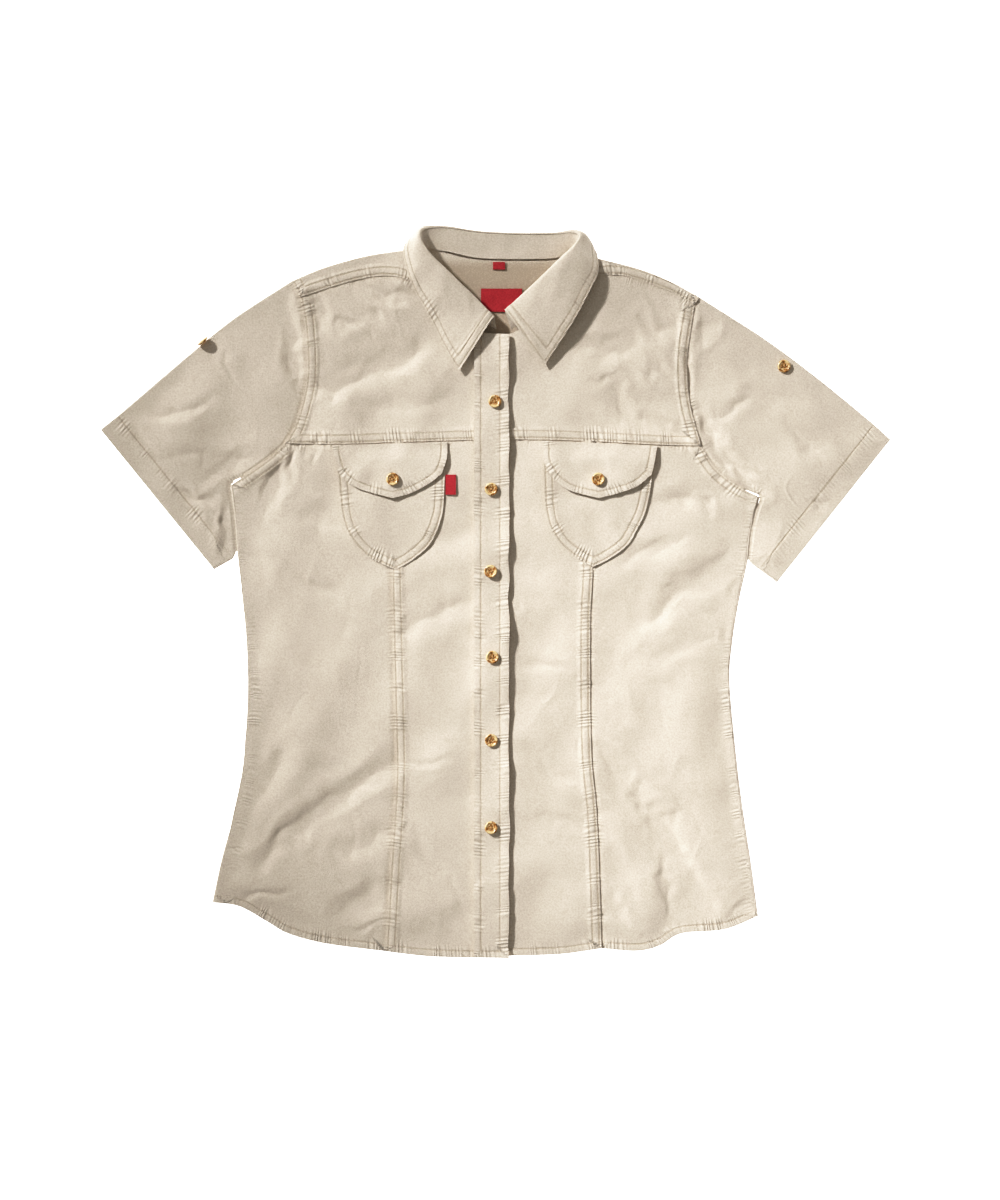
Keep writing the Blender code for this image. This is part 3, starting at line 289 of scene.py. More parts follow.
def coons(bottom, top, left, right):
    """A grid [row, column] of plan points that fills four border lines."""
    u = run_fractions(bottom, top)[None, :, None]
    v = run_fractions(left, right)[:, None, None]
    across = (1 - u) * left[:, None] + u * right[:, None]
    along = (1 - v) * bottom[None] + v * top[None]
    corners = ((1 - v) * ((1 - u) * bottom[0] + u * bottom[-1])
               + v * ((1 - u) * top[0] + u * top[-1]))
    return across + along - corners


def pull_in(grid, sides, amount=SEAM_GAP / 2):
    """Move the named borders of a plan grid inwards."""
    moved = grid.copy()
    borders = {"left": (np.s_[:, 0], np.s_[:, 1]), "right": (np.s_[:, -1], np.s_[:, -2]),
               "bottom": (np.s_[0], np.s_[1]), "top": (np.s_[-1], np.s_[-2])}
    for side in sides:
        edge, inner = borders[side]
        along = np.gradient(grid[edge], axis=0)
        inward = np.column_stack([-along[:, 1], along[:, 0]])
        inward /= np.linalg.norm(inward, axis=1)[:, None]
        facing = np.sign(np.sum(inward * (grid[inner] - grid[edge]), axis=1))
        moved[edge] += amount * inward * facing[:, None]
    return moved


def ramp(value, start, end):
    """0 at start, 1 at end, smooth between."""
    t = np.clip((value - start) / (end - start), 0, 1)
    return t * t * (3 - 2 * t)


def segment_distance(x, y, x0, y0, x1, y1):
    """Distance to a segment, and the share of the way along it."""
    dx = x1 - x0
    dy = y1 - y0
    t = np.clip(((x - x0) * dx + (y - y0) * dy) / (dx * dx + dy * dy), 0, 1)
    return np.hypot(x - x0 - t * dx, y - y0 - t * dy), t


def outline_points():
    """The silhouette without the collar, as one closed line."""
    return joined(
        spaced(HEM_LEFT, 8)[::-1][:1], spaced(HEM_LEFT, 8)[::-1], spaced(SIDE_LEFT, 12),
        np.array([SIDE_LEFT[-1], UNDERARM_LEFT[0], CUFF_LEFT[1], CUFF_LEFT[0]]),
        spaced(SLEEVE_TOP_LEFT, 6)[::-1], spaced(SHOULDER_LEFT, 6),
        np.array([SHOULDER_LEFT[-1], SHOULDER_RIGHT[0]]), spaced(SHOULDER_RIGHT, 6),
        spaced(SLEEVE_TOP_RIGHT, 6), np.array([SLEEVE_TOP_RIGHT[-1], CUFF_RIGHT[0], CUFF_RIGHT[1],
                                               UNDERARM_RIGHT[0]]),
        spaced(SIDE_RIGHT, 12)[::-1], spaced(HEM_RIGHT, 8)[::-1],
        np.array([HEM_RIGHT[0], (0, -366), HEM_LEFT[-1]]))


OUTLINE = outline_points()


def edge_distance(x, y):
    """How far inside the silhouette a place lies; the neck doesn't count as an edge."""
    nearest = np.full(np.shape(x), 1e9)
    for start, end in zip(OUTLINE, OUTLINE[1:]):
        if np.hypot(*(end - start)) < 1e-6:
            continue
        nearest = np.minimum(nearest, segment_distance(x, y, *start, *end)[0])
    return nearest


def back_mid(x, y):
    """Middle of the back layer: on the floor, and raised where the leaf is tucked under."""
    over_leaf = ramp(y, 282, 314) * ramp(x, -112, -92) * ramp(-x, -126, -106)
    return FLOOR_MID + COLLAR_LIFT * over_leaf


def waves(seed, count, length):
    """Seeded plane waves around one length: their vectors and phases."""
    rng = np.random.default_rng(seed)
    angle = rng.uniform(0, 2 * math.pi, count)
    size = 2 * math.pi / (length * rng.uniform(0.7, 1.5, count))
    return size * np.cos(angle), size * np.sin(angle), rng.uniform(0, 2 * math.pi, count)


def noise(x, y, seed, length, count=14):
    """A smooth random field of mean 0 and spread near 1."""
    total = np.zeros(np.shape(x))
    for kx, ky, phase in zip(*waves(seed, count, length)):
        total = total + np.sin(kx * x + ky * y + phase)
    return total * math.sqrt(2 / count)


def creases(x, y):
    """The creases' height, each trough with a low ridge to either side."""
    x, y = (x + 2.6 * noise(x, y, 11, 38) + 1.0 * noise(x, y, 12, 14),
            y + 2.6 * noise(x, y, 13, 38) + 1.0 * noise(x, y, 14, 14))
    height = np.zeros(np.shape(x))
    for x0, y0, x1, y1, width, depth in CREASES:
        away, t = segment_distance(x, y, x0, y0, x1, y1)
        size = depth * (0.45 + 0.55 * np.sin(math.pi * t))
        groove = np.exp(-(away / (0.75 * width)) ** 2) * 0.8 + 0.2 * np.exp(-away / (0.3 * width))
        height = height + size * (groove - 0.42 * np.exp(-((away - 1.7 * width) / (0.9 * width)) ** 2))
    return height


def wrinkles(x, y):
    """Low swells, and small sharp creases where they cross."""
    soft = 0.60 * noise(x, y, 1, 70) + 0.13 * noise(x, y, 2, 30)
    sharp = 0.20 * np.exp(-(noise(x, y, 3, 46) / 0.25) ** 2) * noise(x, y, 4, 60)
    return soft + sharp + 0.02 * noise(x, y, 5, 10)


def relief(x, y):
    """Height of the front above the back, beyond the smallest gap."""
    edge = edge_distance(x, y)
    height = PUFF * (1 - np.exp(-(edge / PUFF_REACH) ** 2))
    for x0, y0, x1, y1, width, rise in FOLDS:
        away, t = segment_distance(x, y, x0, y0, x1, y1)
        height = height + rise * np.exp(-(away / width) ** 2) * (0.4 + 0.6 * np.sin(math.pi * t))
    inside = 1 - np.exp(-(edge / 9) ** 2)
    height = height + inside * (0.8 * creases(x, y) + wrinkles(x, y))
    return 0.5 * (height + np.sqrt(height ** 2 + 0.25))


def front_mid(x, y):
    return back_mid(x, y) + FRONT_RISE + relief(x, y)


def front_top(x, y):
    return front_mid(x, y) + HALF


def line_distance(x, y, line):
    """Distance to a line of points and the run along it."""
    nearest = np.full(np.shape(x), 1e9)
    run = np.zeros(np.shape(x))
    start = 0.0
    for a, b in zip(line, line[1:]):
        length = float(np.hypot(*(b - a)))
        away, t = segment_distance(x, y, *a, *b)
        closer = away < nearest
        nearest = np.where(closer, away, nearest)
        run = np.where(closer, start + t * length, run)
        start += length
    return nearest, run


class Seam:
    """A sewn border: its line, its stitch rows' distances, how far it is raised, and its puckers."""

    def __init__(self, line, rows=LAP_STITCHES, rise=LAP_RISE, width=LAP_WIDTH, pucker=1.0):
        self.line = np.array(line, float)
        self.rows = rows
        self.rise = rise
        self.width = width
        self.pucker = pucker


def under(line):
    """A border that goes on below its neighbour."""
    return Seam(line, rows=(), rise=-UNDER_DROP, width=1.5, pucker=0.6)


# the shade note is painted shade: it darkens the cloth's colour where a lapping edge or the collar would
# shade it
NOTES = ("phase", "amount", "row_a", "row_b", "shade")
FAR = 5.0              # a stitch row further off than this doesn't mark the cloth


def blank(key):
    """A note's value where nothing is sewn."""
    return FAR if key.startswith("row") else 0.0


def sewn(x, y, seams):
    """What the seams do at each place: the height they add, and the notes that the cloth's shader reads,
    among them painted shade beside lapping edges.
    """
    height = np.zeros(np.shape(x))
    nearest = np.full(np.shape(x), 1e9)
    notes = {key: np.full(np.shape(x), blank(key)) for key in NOTES}
    for k, seam in enumerate(seams):
        away, run = line_distance(x, y, seam.line)
        band = 1 - ramp(away, seam.width, seam.width + 2.6)
        edge = 0.5 + 0.5 * ramp(away, 0, 2.5) if seam.rise > 0 else 1.0
        height = height + seam.rise * band * edge
        for row in seam.rows:
            height = height - DIP * np.exp(-((away - row) / DIP_WIDTH) ** 2)
        reach = max(seam.rows) if seam.rows else 2.5
        start = reach if reach > 12 else 0
        here = seam.pucker * np.exp(-(np.maximum(away - reach, 0) / 4.5) ** 2)
        here = here * np.exp(-(np.maximum(start - away - 3, 0) / 6.0) ** 2)
        uneven = np.clip(0.55 + 0.45 * noise(run, run * 0 + 17.0 * k, 21 + k, 24), 0.0, 1.4)
        drift = 2.0 * noise(run, run * 0 + 7.0 * k, 31 + k, 16)
        wave = 2 * math.pi * run / PUCKER_LENGTH + drift + 0.22 * away
        height = height + 0.2 * here * uneven * noise(run, away * 0.5, 91 + k, 9)
        closer = away < nearest
        nearest = np.where(closer, away, nearest)
        # painted shade: a thin dark line on an under border's cloth beside its neighbour's lapping edge,
        # where that edge shades it
        dark = 0.0 if seam.rise > 0 else 0.55 * np.exp(-np.maximum(away - 0.2, 0) / 1.6)
        for key, values in (("phase", wave), ("amount", here * uneven), ("shade", dark)):
            notes[key] = np.where(closer, values, notes[key])
        for key, index in (("row_a", 0), ("row_b", -1)):
            row = np.clip(away - seam.rows[index], -FAR, FAR) if seam.rows else FAR
            notes[key] = np.where(closer, row, notes[key])
    return height, notes


def link(name, mesh, material, body="root"):
    item = bpy.data.objects.new(name, mesh)
    item.data.materials.append(material)
    bpy.context.scene.collection.objects.link(item)
    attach(item, body)
    return item


def shell(name, points, faces, up, material, wall=WALL, notes=None):
    """Thicken an open sheet into a closed wall, half to each side of it."""
    points = np.asarray(points, float).reshape(-1, 3)
    up = np.asarray(up, float).reshape(-1, 3)
    faces = np.asarray(faces)
    count = len(points)
    both = np.vstack([points + up * wall / 2, points - up * wall / 2])
    heads = faces.ravel()
    tails = np.roll(faces, -1, axis=1).ravel()
    open_edge = ~np.isin(heads * count + tails, tails * count + heads)
    a = heads[open_edge]
    b = tails[open_edge]
    rim = np.column_stack([b, a, a + count, b + count])
    solid = np.vstack([faces, count + faces[:, ::-1], rim])
    mesh = bpy.data.meshes.new(name)
    mesh.from_pydata((both * MM).tolist(), [], solid.tolist())
    mesh.shade_smooth()
    mesh.set_sharp_from_angle(angle=math.radians(48))
    for key in NOTES:
        values = np.full(count, blank(key)) if notes is None or key not in notes else notes[key]
        values = np.asarray(values, float).ravel()
        mesh.attributes.new(key, "FLOAT", "POINT").data.foreach_set("value", np.r_[values, values])
    return link(name, mesh, material)


def grid_faces(rows, columns, closed=False):
    """Quads of a grid; with closed, the last column joins the first."""
    j = np.arange(rows - 1)[:, None]
    i = np.arange(columns if closed else columns - 1)[None]
    right = (i + 1) % columns
    return np.stack([j * columns + i, j * columns + right, (j + 1) * columns + right,
                     (j + 1) * columns + i], axis=-1).reshape(-1, 4)


PLACES = {}            # each piece's height over the plan, for what is sewn on it


def panel(name, grid, material, seams, height=front_mid, wall=WALL):
    """A flat-lying piece with its sewn borders; its wall is measured straight up."""
    x = grid[..., 0]
    y = grid[..., 1]
    extra, notes = sewn(x, y, seams)
    points = np.dstack([grid, height(x, y) + extra])
    up = np.zeros_like(points)
    up[..., 2] = 1
    PLACES[name] = (height, seams, wall)
    return shell(name, points, grid_faces(*grid.shape[:2]), up, material, wall, notes)


def steps(line, spacing=STEP):
    """How many mesh steps a line through a table takes."""
    fine = smooth_line(line)
    return max(2, int(round(np.sum(np.linalg.norm(np.diff(fine, axis=0), axis=1)) / spacing)))


def seam_inside(side_line, lip_table, inward):
    """The front's side seam: the silhouette moved in by the width that the back wraps."""
    width = np.interp(side_line[:, 1], lip_table["y"], lip_table["width"])
    return side_line + np.column_stack([inward * width, np.zeros(len(width))])


def make_fronts(cloth):
    halves = (
        ("left", ARMHOLE_LEFT, SIDE_LEFT, LIP_LEFT, 1, PRINCESS_LEFT, HEM_LEFT, HEM_FRONT_LEFT,
         CHEST_LEFT, CHEST_FRONT_LEFT, STRIP_SEAM_LEFT, NECK_FRONT_LEFT),
        ("right", ARMHOLE_RIGHT, SIDE_RIGHT, LIP_RIGHT, -1, PRINCESS_RIGHT, HEM_RIGHT, HEM_FRONT_RIGHT,
         CHEST_RIGHT, CHEST_FRONT_RIGHT, STRIP_SEAM_RIGHT, NECK_FRONT_RIGHT),
    )
    made = []
    for name, arm, side, lip, inward, princess, hem, hem_front, chest, chest_front, strip, neck in halves:
        side_steps = steps(side)
        arm_steps = steps(arm["under"])
        rows = side_steps + arm_steps
        princess_line = spaced(princess, rows)
        side_line = joined(seam_inside(spaced(side, side_steps), lip, inward),
                           spaced(arm["under"], arm_steps)[::-1])
        hem_line = spaced(hem, steps(hem))
        hem_line[0 if name == "left" else -1] = side_line[0]
        chest_line = spaced(chest, steps(hem))
        hem_front_line = spaced(hem_front, steps(hem_front))
        chest_front_line = spaced(chest_front, steps(hem_front))
        edge_bottom = hem_front[-1] if name == "left" else hem_front[0]
        edge_top = chest_front[-1] if name == "left" else chest_front[0]
        edge = spaced([edge_bottom, edge_top], rows)
        if name == "left":
            side_grid = coons(hem_line, chest_line, side_line, princess_line)
            centre_grid = coons(hem_front_line, chest_front_line, princess_line, edge)
            outer, inner = "left", "right"
        else:
            side_grid = coons(hem_line, chest_line, princess_line, side_line)
            centre_grid = coons(hem_front_line, chest_front_line, edge, princess_line)
            outer, inner = "right", "left"
        side_grid = pull_in(pull_in(side_grid, ("top", inner), -UNDER_REACH), (outer,))
        centre_grid = pull_in(centre_grid, ("top",), -UNDER_REACH)
        smooth = {key: smooth_line(value, 6) for key, value in (
            ("princess", princess), ("chest", chest), ("chest_front", chest_front), ("hem", hem),
            ("hem_front", hem_front), ("under", arm["under"]), ("arm", arm["chest"]), ("strip", strip))}
        side_seam = seam_inside(smooth_line(side, 4), lip, inward)
        made.append(panel("front_side_" + name, side_grid, cloth, [
            under(smooth["princess"]), under(smooth["chest"]), Seam(smooth["hem"], **HEM),
            Seam(smooth["under"]), Seam(side_seam, rows=(), rise=0.25, width=2.0, pucker=0.9)]))
        made.append(panel("front_centre_" + name, centre_grid, cloth, [
            Seam(smooth["princess"]), under(smooth["chest_front"]), Seam(smooth["hem_front"], **HEM)]))

        arm_line = spaced(arm["chest"], steps(arm["chest"]))[::-1]
        low = max(2, int(0.62 * (len(arm_line) - 1)))
        opening = joined(spaced([edge_top, neck[0]], low), spaced(neck, len(arm_line) - 1 - low))
        chest_whole = joined(chest_line, chest_front_line)
        if name == "right":
            chest_whole = joined(chest_front_line, chest_line)
        strip_line = spaced(strip, len(chest_whole) - 1)
        borders = (arm_line, opening) if name == "left" else (opening, arm_line)
        upper = pull_in(coons(chest_whole, strip_line, *borders), ("top",), -UNDER_REACH)
        whole = joined(smooth["chest"], smooth["chest_front"])
        if name == "right":
            whole = joined(smooth["chest_front"], smooth["chest"])
        made.append(panel("front_upper_" + name, upper, cloth,
                          [Seam(whole), Seam(smooth["arm"]), under(smooth["strip"])]))
    return made


def fold_round(fold, towards, low, high, steps_round):
    """Points and normals of layers folded at a line: arrays [step, station, xyz]."""
    radius = ((high - low) / 2)[:, None]
    middle = (low + high) / 2
    flat = np.column_stack([towards, np.zeros(len(towards))])
    ring = []
    normals = []
    for degrees in steps_round:
        angle = math.radians(degrees)
        plan = fold + towards * radius * (1 - math.cos(angle))
        ring.append(np.column_stack([plan, middle + radius[:, 0] * math.sin(angle)]))
        normals.append(flat * math.cos(angle) - np.array([0, 0, math.sin(angle)]))
    return np.array(ring), np.array(normals)


ROUND = (-90, -60, -30, 0, 30, 60, 90)


def make_back(cloth):
    """The back panel with its side edges wrapped a little round to the front."""
    pieces = []
    for side, lip, inward in ((SIDE_LEFT, LIP_LEFT, 1), (SIDE_RIGHT, LIP_RIGHT, -1)):
        count = steps(side)
        line = spaced(side, count)
        low = back_mid(line[:, 0], line[:, 1])
        high = front_mid(line[:, 0], line[:, 1])
        towards = np.column_stack([np.full(count + 1, float(inward)), np.zeros(count + 1)])
        ring, normals = fold_round(line, towards, low, high, ROUND)
        reach = np.interp(line[:, 1], lip["y"], lip["width"])
        for k in range(1, 8):
            plan = line + towards * (((high - low) / 2) * (1 - k / 7) + (reach - 0.1) * k / 7)[:, None]
            extra, _ = sewn(plan[:, 0], plan[:, 1], [
                Seam(HEM_LEFT if inward > 0 else HEM_RIGHT, **HEM)])
            z = front_mid(plan[:, 0], plan[:, 1]) + extra - 0.35 * math.exp(-(7 - k) / 1.5)
            ring = np.concatenate([ring, np.column_stack([plan, z])[None]])
            normals = np.concatenate([normals, np.tile([0, 0, -1.0], (1, count + 1, 1))])
        pieces.append((ring, normals))
    armpit = [armhole(ARMHOLE_LEFT)[YOKE_ROWS:][::-1], armhole(ARMHOLE_RIGHT)[YOKE_ROWS:][::-1]]
    left = joined(pieces[0][0][0][:, :2], spaced(armpit[0], steps(armpit[0])))
    right_side = pieces[1][0][0][:, :2]
    arm = spaced(armpit[1], steps(armpit[0]))
    right = joined(spaced(right_side, steps(SIDE_LEFT)), arm)
    middle = spaced([HEM_LEFT[-1], (0, -366), HEM_RIGHT[0]], 14)
    hem = joined(spaced(HEM_LEFT, 14), middle, spaced(HEM_RIGHT, 14))
    grid = coons(hem, spaced([left[-1], right[-1]], len(hem) - 1), left, right)
    grid[0, :, 1] += 0.8
    flat = np.dstack([grid, back_mid(grid[..., 0], grid[..., 1])])
    up = np.zeros_like(flat)
    up[..., 2] = 1
    items = [shell("back", flat, grid_faces(*grid.shape[:2]), up, cloth)]
    for (ring, normals), name, flip in zip(pieces, ("back_edge_left", "back_edge_right"), (True, False)):
        faces = grid_faces(*ring.shape[:2])
        items.append(shell(name, ring, faces[:, ::-1] if flip else faces, normals, cloth))
    return merge(items)


def armhole(side):
    """The armhole from the shoulder fold to the armpit, with its shared samples."""
    return joined(spaced(side["strip"], ARM_STRIP), spaced(side["chest"], ARM_CHEST),
                  spaced(side["under"], ARM_UNDER))


def merge(items):
    """Join pieces of one cut of cloth into the first."""
    with bpy.context.temp_override(active_object=items[0], object=items[0], selected_objects=items,
                                   selected_editable_objects=items):
        bpy.ops.object.join()
    return items[0]


def make_yoke(cloth):
    """The back yoke, whose shoulder edges wrap over to the front as strips."""
    low_left = spaced(armhole(ARMHOLE_LEFT)[:YOKE_ROWS + 1][::-1], 24)
    low_right = spaced(armhole(ARMHOLE_RIGHT)[:YOKE_ROWS + 1][::-1], 24)
    count = steps(SHOULDER_LEFT)
    top = joined(spaced(SHOULDER_LEFT, count), spaced(NECK_BACK, 76), spaced(SHOULDER_RIGHT, count))
    grid = coons(spaced([low_left[0], low_right[0]], len(top) - 1), top, low_left, low_right)
    grid = pull_in(grid, ("bottom", "left", "right"))
    label_dent = 0.25 * noise(grid[..., 0], grid[..., 1], 41, 26)
    flat = np.dstack([grid, back_mid(grid[..., 0], grid[..., 1]) + 0.12 * label_dent])
    up = np.zeros_like(flat)
    up[..., 2] = 1
    # painted shade: the yoke's inside within the neck opening is darkened where the collar shades it
    deep = ramp(-grid[..., 1], -334, -322) * ramp(grid[..., 0], -84, -60) * ramp(-grid[..., 0], -92, -66)
    items = [shell("back_yoke", flat, grid_faces(*grid.shape[:2]), up, cloth, notes={"shade": deep})]
    for side, strip, fold_line, arm in (("left", STRIP_SEAM_LEFT, SHOULDER_LEFT, ARMHOLE_LEFT),
                                        ("right", STRIP_SEAM_RIGHT, SHOULDER_RIGHT, ARMHOLE_RIGHT)):
        fold = spaced(fold_line, count)
        target = spaced(strip, count)
        away = target - fold
        length = np.linalg.norm(away, axis=1)
        towards = away / length[:, None]
        low = back_mid(fold[:, 0], fold[:, 1])
        high = front_mid(fold[:, 0], fold[:, 1])
        ring, normals = fold_round(fold, towards, low, high, ROUND)
        radius = (high - low) / 2
        seams = [Seam(smooth_line(strip, 6)), Seam(smooth_line(arm["strip"], 4))]
        rows = 16
        notes = {key: [np.full(count + 1, blank(key))] * len(ring) for key in NOTES}
        for k in range(1, rows + 1):
            plan = fold + towards * (radius + (length - radius) * k / rows)[:, None]
            extra, made = sewn(plan[:, 0], plan[:, 1], seams)
            blend_in = ramp(k / rows, 0, 0.35)
            z = front_mid(plan[:, 0], plan[:, 1]) + extra * blend_in
            ring = np.concatenate([ring, np.column_stack([plan, z])[None]])
            normals = np.concatenate([normals, np.tile([0, 0, -1.0], (1, count + 1, 1))])
            for key, values in made.items():
                notes[key] = notes[key] + [values]
        PLACES["strip_" + side] = (front_mid, seams, WALL)
        items.append(shell("strip_" + side, ring, grid_faces(*ring.shape[:2]), normals, cloth,
                           notes={key: np.array(values) for key, values in notes.items()}))
    return merge(items)


def make_sleeve(name, arm, top_edge, by_body, underarm, cuff, cloth):
    """A flattened tube from the armhole to the cuff, its lower layer on the floor."""
    corner = armhole(arm)
    corner[-1] = by_body[0]
    seam = joined(corner, spaced(by_body, ARM_BODY))
    seam = spaced(seam, steps(seam))
    count = len(seam) - 1
    share = np.linspace(0, 1, count + 1)[:, None]
    share = 0.35 * share + 0.65 * share ** 2.2
    cuff_line = (1 - share) * np.array(cuff[0]) + share * np.array(cuff[1])
    rows = steps(top_edge)
    top = joined(spaced(top_edge, rows), spaced([top_edge[-1], cuff[0]], 10))
    below = joined(spaced(underarm[:2], rows), spaced(underarm[1:], 10))
    plan = coons(seam, cuff_line, top, below)
    on_top = pull_in(plan, ("bottom",), -UNDER_REACH)
    on_floor = pull_in(plan, ("bottom",))
    seams = [under(smooth_line(joined(corner, by_body), 3)), Seam(cuff, **SLEEVE_HEM)]
    extra, made = sewn(on_top[..., 0], on_top[..., 1], seams)
    high = front_mid(on_top[..., 0], on_top[..., 1]) + extra
    low = back_mid(on_floor[..., 0], on_floor[..., 1])
    radius = (high[:, [0, -1]] - low[:, [0, -1]]) / 2
    middle = (high[:, [0, -1]] + low[:, [0, -1]]) / 2
    ends = [plan[:, 0] - plan[:, 1], plan[:, -1] - plan[:, -2]]
    ends = [end / np.linalg.norm(end, axis=1)[:, None] for end in ends]

    def rounded(k, sweep):
        """The tube's fold at one side: plan, height and normal at angles from the top to the floor."""
        column = 0 if k == 0 else -1
        parts = []
        for degrees in sweep:
            angle = math.radians(degrees)
            reach = radius[:, k] * (math.cos(angle) - 1)
            spot = plan[:, column] + ends[k] * reach[:, None]
            z = middle[:, k] + radius[:, k] * math.sin(angle)
            normal = np.column_stack([ends[k] * math.cos(angle), np.full(len(z), math.sin(angle))])
            parts.append((np.column_stack([spot, z]), normal))
        return parts

    def layer(grid, z, sign):
        normal = np.tile([0, 0, float(sign)], (len(z), 1))
        columns = [(np.column_stack([grid[:, i], z[:, i]]), normal) for i in range(1, count)]
        return columns if sign > 0 else columns[::-1]

    sweep = (90, 60, 30, 0, -30, -60, -90)
    around = layer(on_top, high, 1) + rounded(1, sweep) + layer(on_floor, low, -1) + rounded(0, sweep[::-1])
    rings = np.stack([place for place, _ in around], axis=1)
    normals = np.stack([normal for _, normal in around], axis=1)
    faces = grid_faces(*rings.shape[:2], closed=True)
    if np.cross(rings[0, 1] - rings[0, 0], rings[1, 0] - rings[0, 0])[2] < 0:
        faces = faces[:, ::-1]
    rest = rings.shape[1] - (count - 1)
    notes = {key: np.hstack([values[:, 1:count], np.full((len(values), rest), blank(key))])
             for key, values in made.items()}
    PLACES["sleeve_" + name] = (front_mid, seams, WALL)
    return shell("sleeve_" + name, rings, faces, normals, cloth, notes=notes)


def surface_normals(grid):
    normal = np.cross(np.gradient(grid, axis=1), np.gradient(grid, axis=0))
    return normal / np.maximum(np.linalg.norm(normal, axis=-1), 1e-9)[..., None]


def make_collar(cloth):
    """Stand and leaf through the collar's sections, and the leaf's stitch rows as lines in space."""
    table = smooth_line(COLLAR_SECTIONS, COLLAR_STEPS)
    c = {name: table[:, k] for k, name in enumerate(COLLAR_COLUMNS)}
    fold = np.column_stack([c["fold_x"], c["fold_y"], c["fold_z"]])
    tucked = np.clip(c["tucked"], 0, 1)[:, None]
    resting = front_top(c["edge_x"], c["edge_y"]) + HALF + 0.6
    edge_z = (1 - tucked[:, 0]) * (resting + c["edge_lift"]) + tucked[:, 0] * c["edge_lift"]
    edge = np.column_stack([c["edge_x"], c["edge_y"], np.maximum(edge_z, HALF)])
    neck_z = back_mid(c["neck_x"], c["neck_y"]) + FRONT_RISE + 0.2
    neck_z = neck_z + (1 - tucked[:, 0]) * relief(c["neck_x"], c["neck_y"])
    neck = np.column_stack([c["neck_x"], c["neck_y"], neck_z])
    along = np.gradient(fold[:, :2], axis=0)
    outward = np.column_stack([-along[:, 1], along[:, 0]])
    outward /= np.linalg.norm(outward, axis=1)[:, None]
    flat_out = np.column_stack([outward, np.zeros(len(outward))])
    up = np.array([0, 0, 1.0])
    roll = c["roll"][:, None]
    seam = fold + flat_out * (2.0 * (1 - tucked)) - up * 1.5
    run = np.r_[0, np.cumsum(np.linalg.norm(np.diff(fold, axis=0), axis=1))]

    t = np.linspace(0, 1, STAND_ROWS + 1)[:, None, None]
    stand = neck * (1 - t) + seam * t
    rise = stand[-1] - stand[-2]
    rise /= np.linalg.norm(rise, axis=1)[:, None]
    normals = surface_normals(stand)
    bend = 0.5 * noise(run[None] + 0 * t[..., 0], 14 * t[..., 0] + 0 * run[None], 51, 26)
    crumple = bend * np.sin(math.pi * t[..., 0]) * (0.6 + 1.2 * (1 - tucked[:, 0]))
    stand = stand + normals * crumple[..., None]
    stand[-1] -= rise * FOLD_SEAM_GAP / 2
    items = [shell("collar_stand", stand, grid_faces(*stand.shape[:2]), surface_normals(stand), cloth)]

    t = np.linspace(0, 1, LEAF_ROWS + 1)[:, None, None]
    control_a = seam + rise * roll + up * (2.2 * (1 - tucked))
    over = fold + (edge - fold) * 0.5 + flat_out * roll * 0.2 + up * 5.0
    below = fold + flat_out * roll * 1.9
    below[:, 2] = edge[:, 2]
    control_b = over * (1 - tucked) + below * tucked
    leaf = (seam * (1 - t) ** 3 + control_a * (3 * t * (1 - t) ** 2) + control_b * (3 * t * t * (1 - t))
            + edge * t ** 3)
    leaf[0] += rise * FOLD_SEAM_GAP / 2
    leaf[..., 2] = np.maximum(leaf[..., 2], HALF)
    normals = surface_normals(leaf)
    left = np.linalg.norm(np.diff(leaf, axis=0), axis=2)
    away = np.vstack([np.cumsum(left[::-1], axis=0)[::-1], np.zeros((1, leaf.shape[1]))])
    free_ends = np.minimum(run, run[-1] - run)[None] + 0 * away
    border = np.minimum(away, free_ends)
    inner, outer = LEAF_STITCHES[1], LEAF_STITCHES[0]
    groove = np.maximum(np.exp(-((border - outer) / DIP_WIDTH) ** 2),
                        np.exp(-((border - inner) / DIP_WIDTH) ** 2))
    wave = 2 * math.pi * run[None] / 4.4 + 1.4 * noise(run, run * 0, 52, 22)[None] + 0.1 * away
    uneven = np.clip(0.6 + 0.4 * noise(run, run * 0 + 5, 53, 30), 0.1, 1.2)[None]
    amount = uneven * np.exp(-(np.maximum(border - inner, 0) / 4.0) ** 2)
    soft = noise(run[None] + 0 * away, away, 54, 40) * 0.5 + noise(run[None] + 0 * away, away, 55, 17) * 0.15
    free = np.sin(math.pi * np.clip(t[..., 0], 0, 0.62)) * (1 - 0.8 * tucked[:, 0])
    band = 0.3 * (1 - ramp(border, inner, inner + 2))
    shape = free * soft - 0.25 * groove + band + 0.1 * amount * np.sin(wave * 0.5)
    leaf = leaf + normals * shape[..., None]
    # the stitch-row notes paint shade in the leaf's stitch grooves, and the phase and amount notes paint
    # light and shade across its puckers
    items.append(shell("collar_leaf", leaf, grid_faces(*leaf.shape[:2]), surface_normals(leaf), cloth,
                       notes={"phase": wave, "amount": amount, "row_a": np.clip(border - outer, -FAR, FAR),
                              "row_b": np.clip(border - inner, -FAR, FAR)}))
    rows_of_stitches = []
    normals = surface_normals(leaf)
    shown = tucked[:, 0] < 0.3
    for distance in LEAF_STITCHES:
        at = np.array([np.interp(distance, away[::-1, k], np.arange(LEAF_ROWS, -1, -1))
                       for k in range(leaf.shape[1])])
        lower = np.clip(at.astype(int), 0, LEAF_ROWS - 1)
        share = (at - lower)[:, None]
        station = np.arange(leaf.shape[1])
        line = leaf[lower, station] * (1 - share) + leaf[lower + 1, station] * share
        line = line + normals[lower, station] * (WALL / 2 + THREAD_SUNK)
        inside = shown & (free_ends[0] > distance)
        half = leaf.shape[1] // 2
        for part in (station < half, station >= half):
            rows_of_stitches.append(line[inside & part])
    for from_end in (run, run[-1] - run):
        for distance in LEAF_STITCHES:
            k = int(np.argmin(np.abs(from_end - distance)))
            path = leaf[5:-3, k] + normals[5:-3, k] * (WALL / 2 + THREAD_SUNK)
            rows_of_stitches.append(path)
    return items, rows_of_stitches


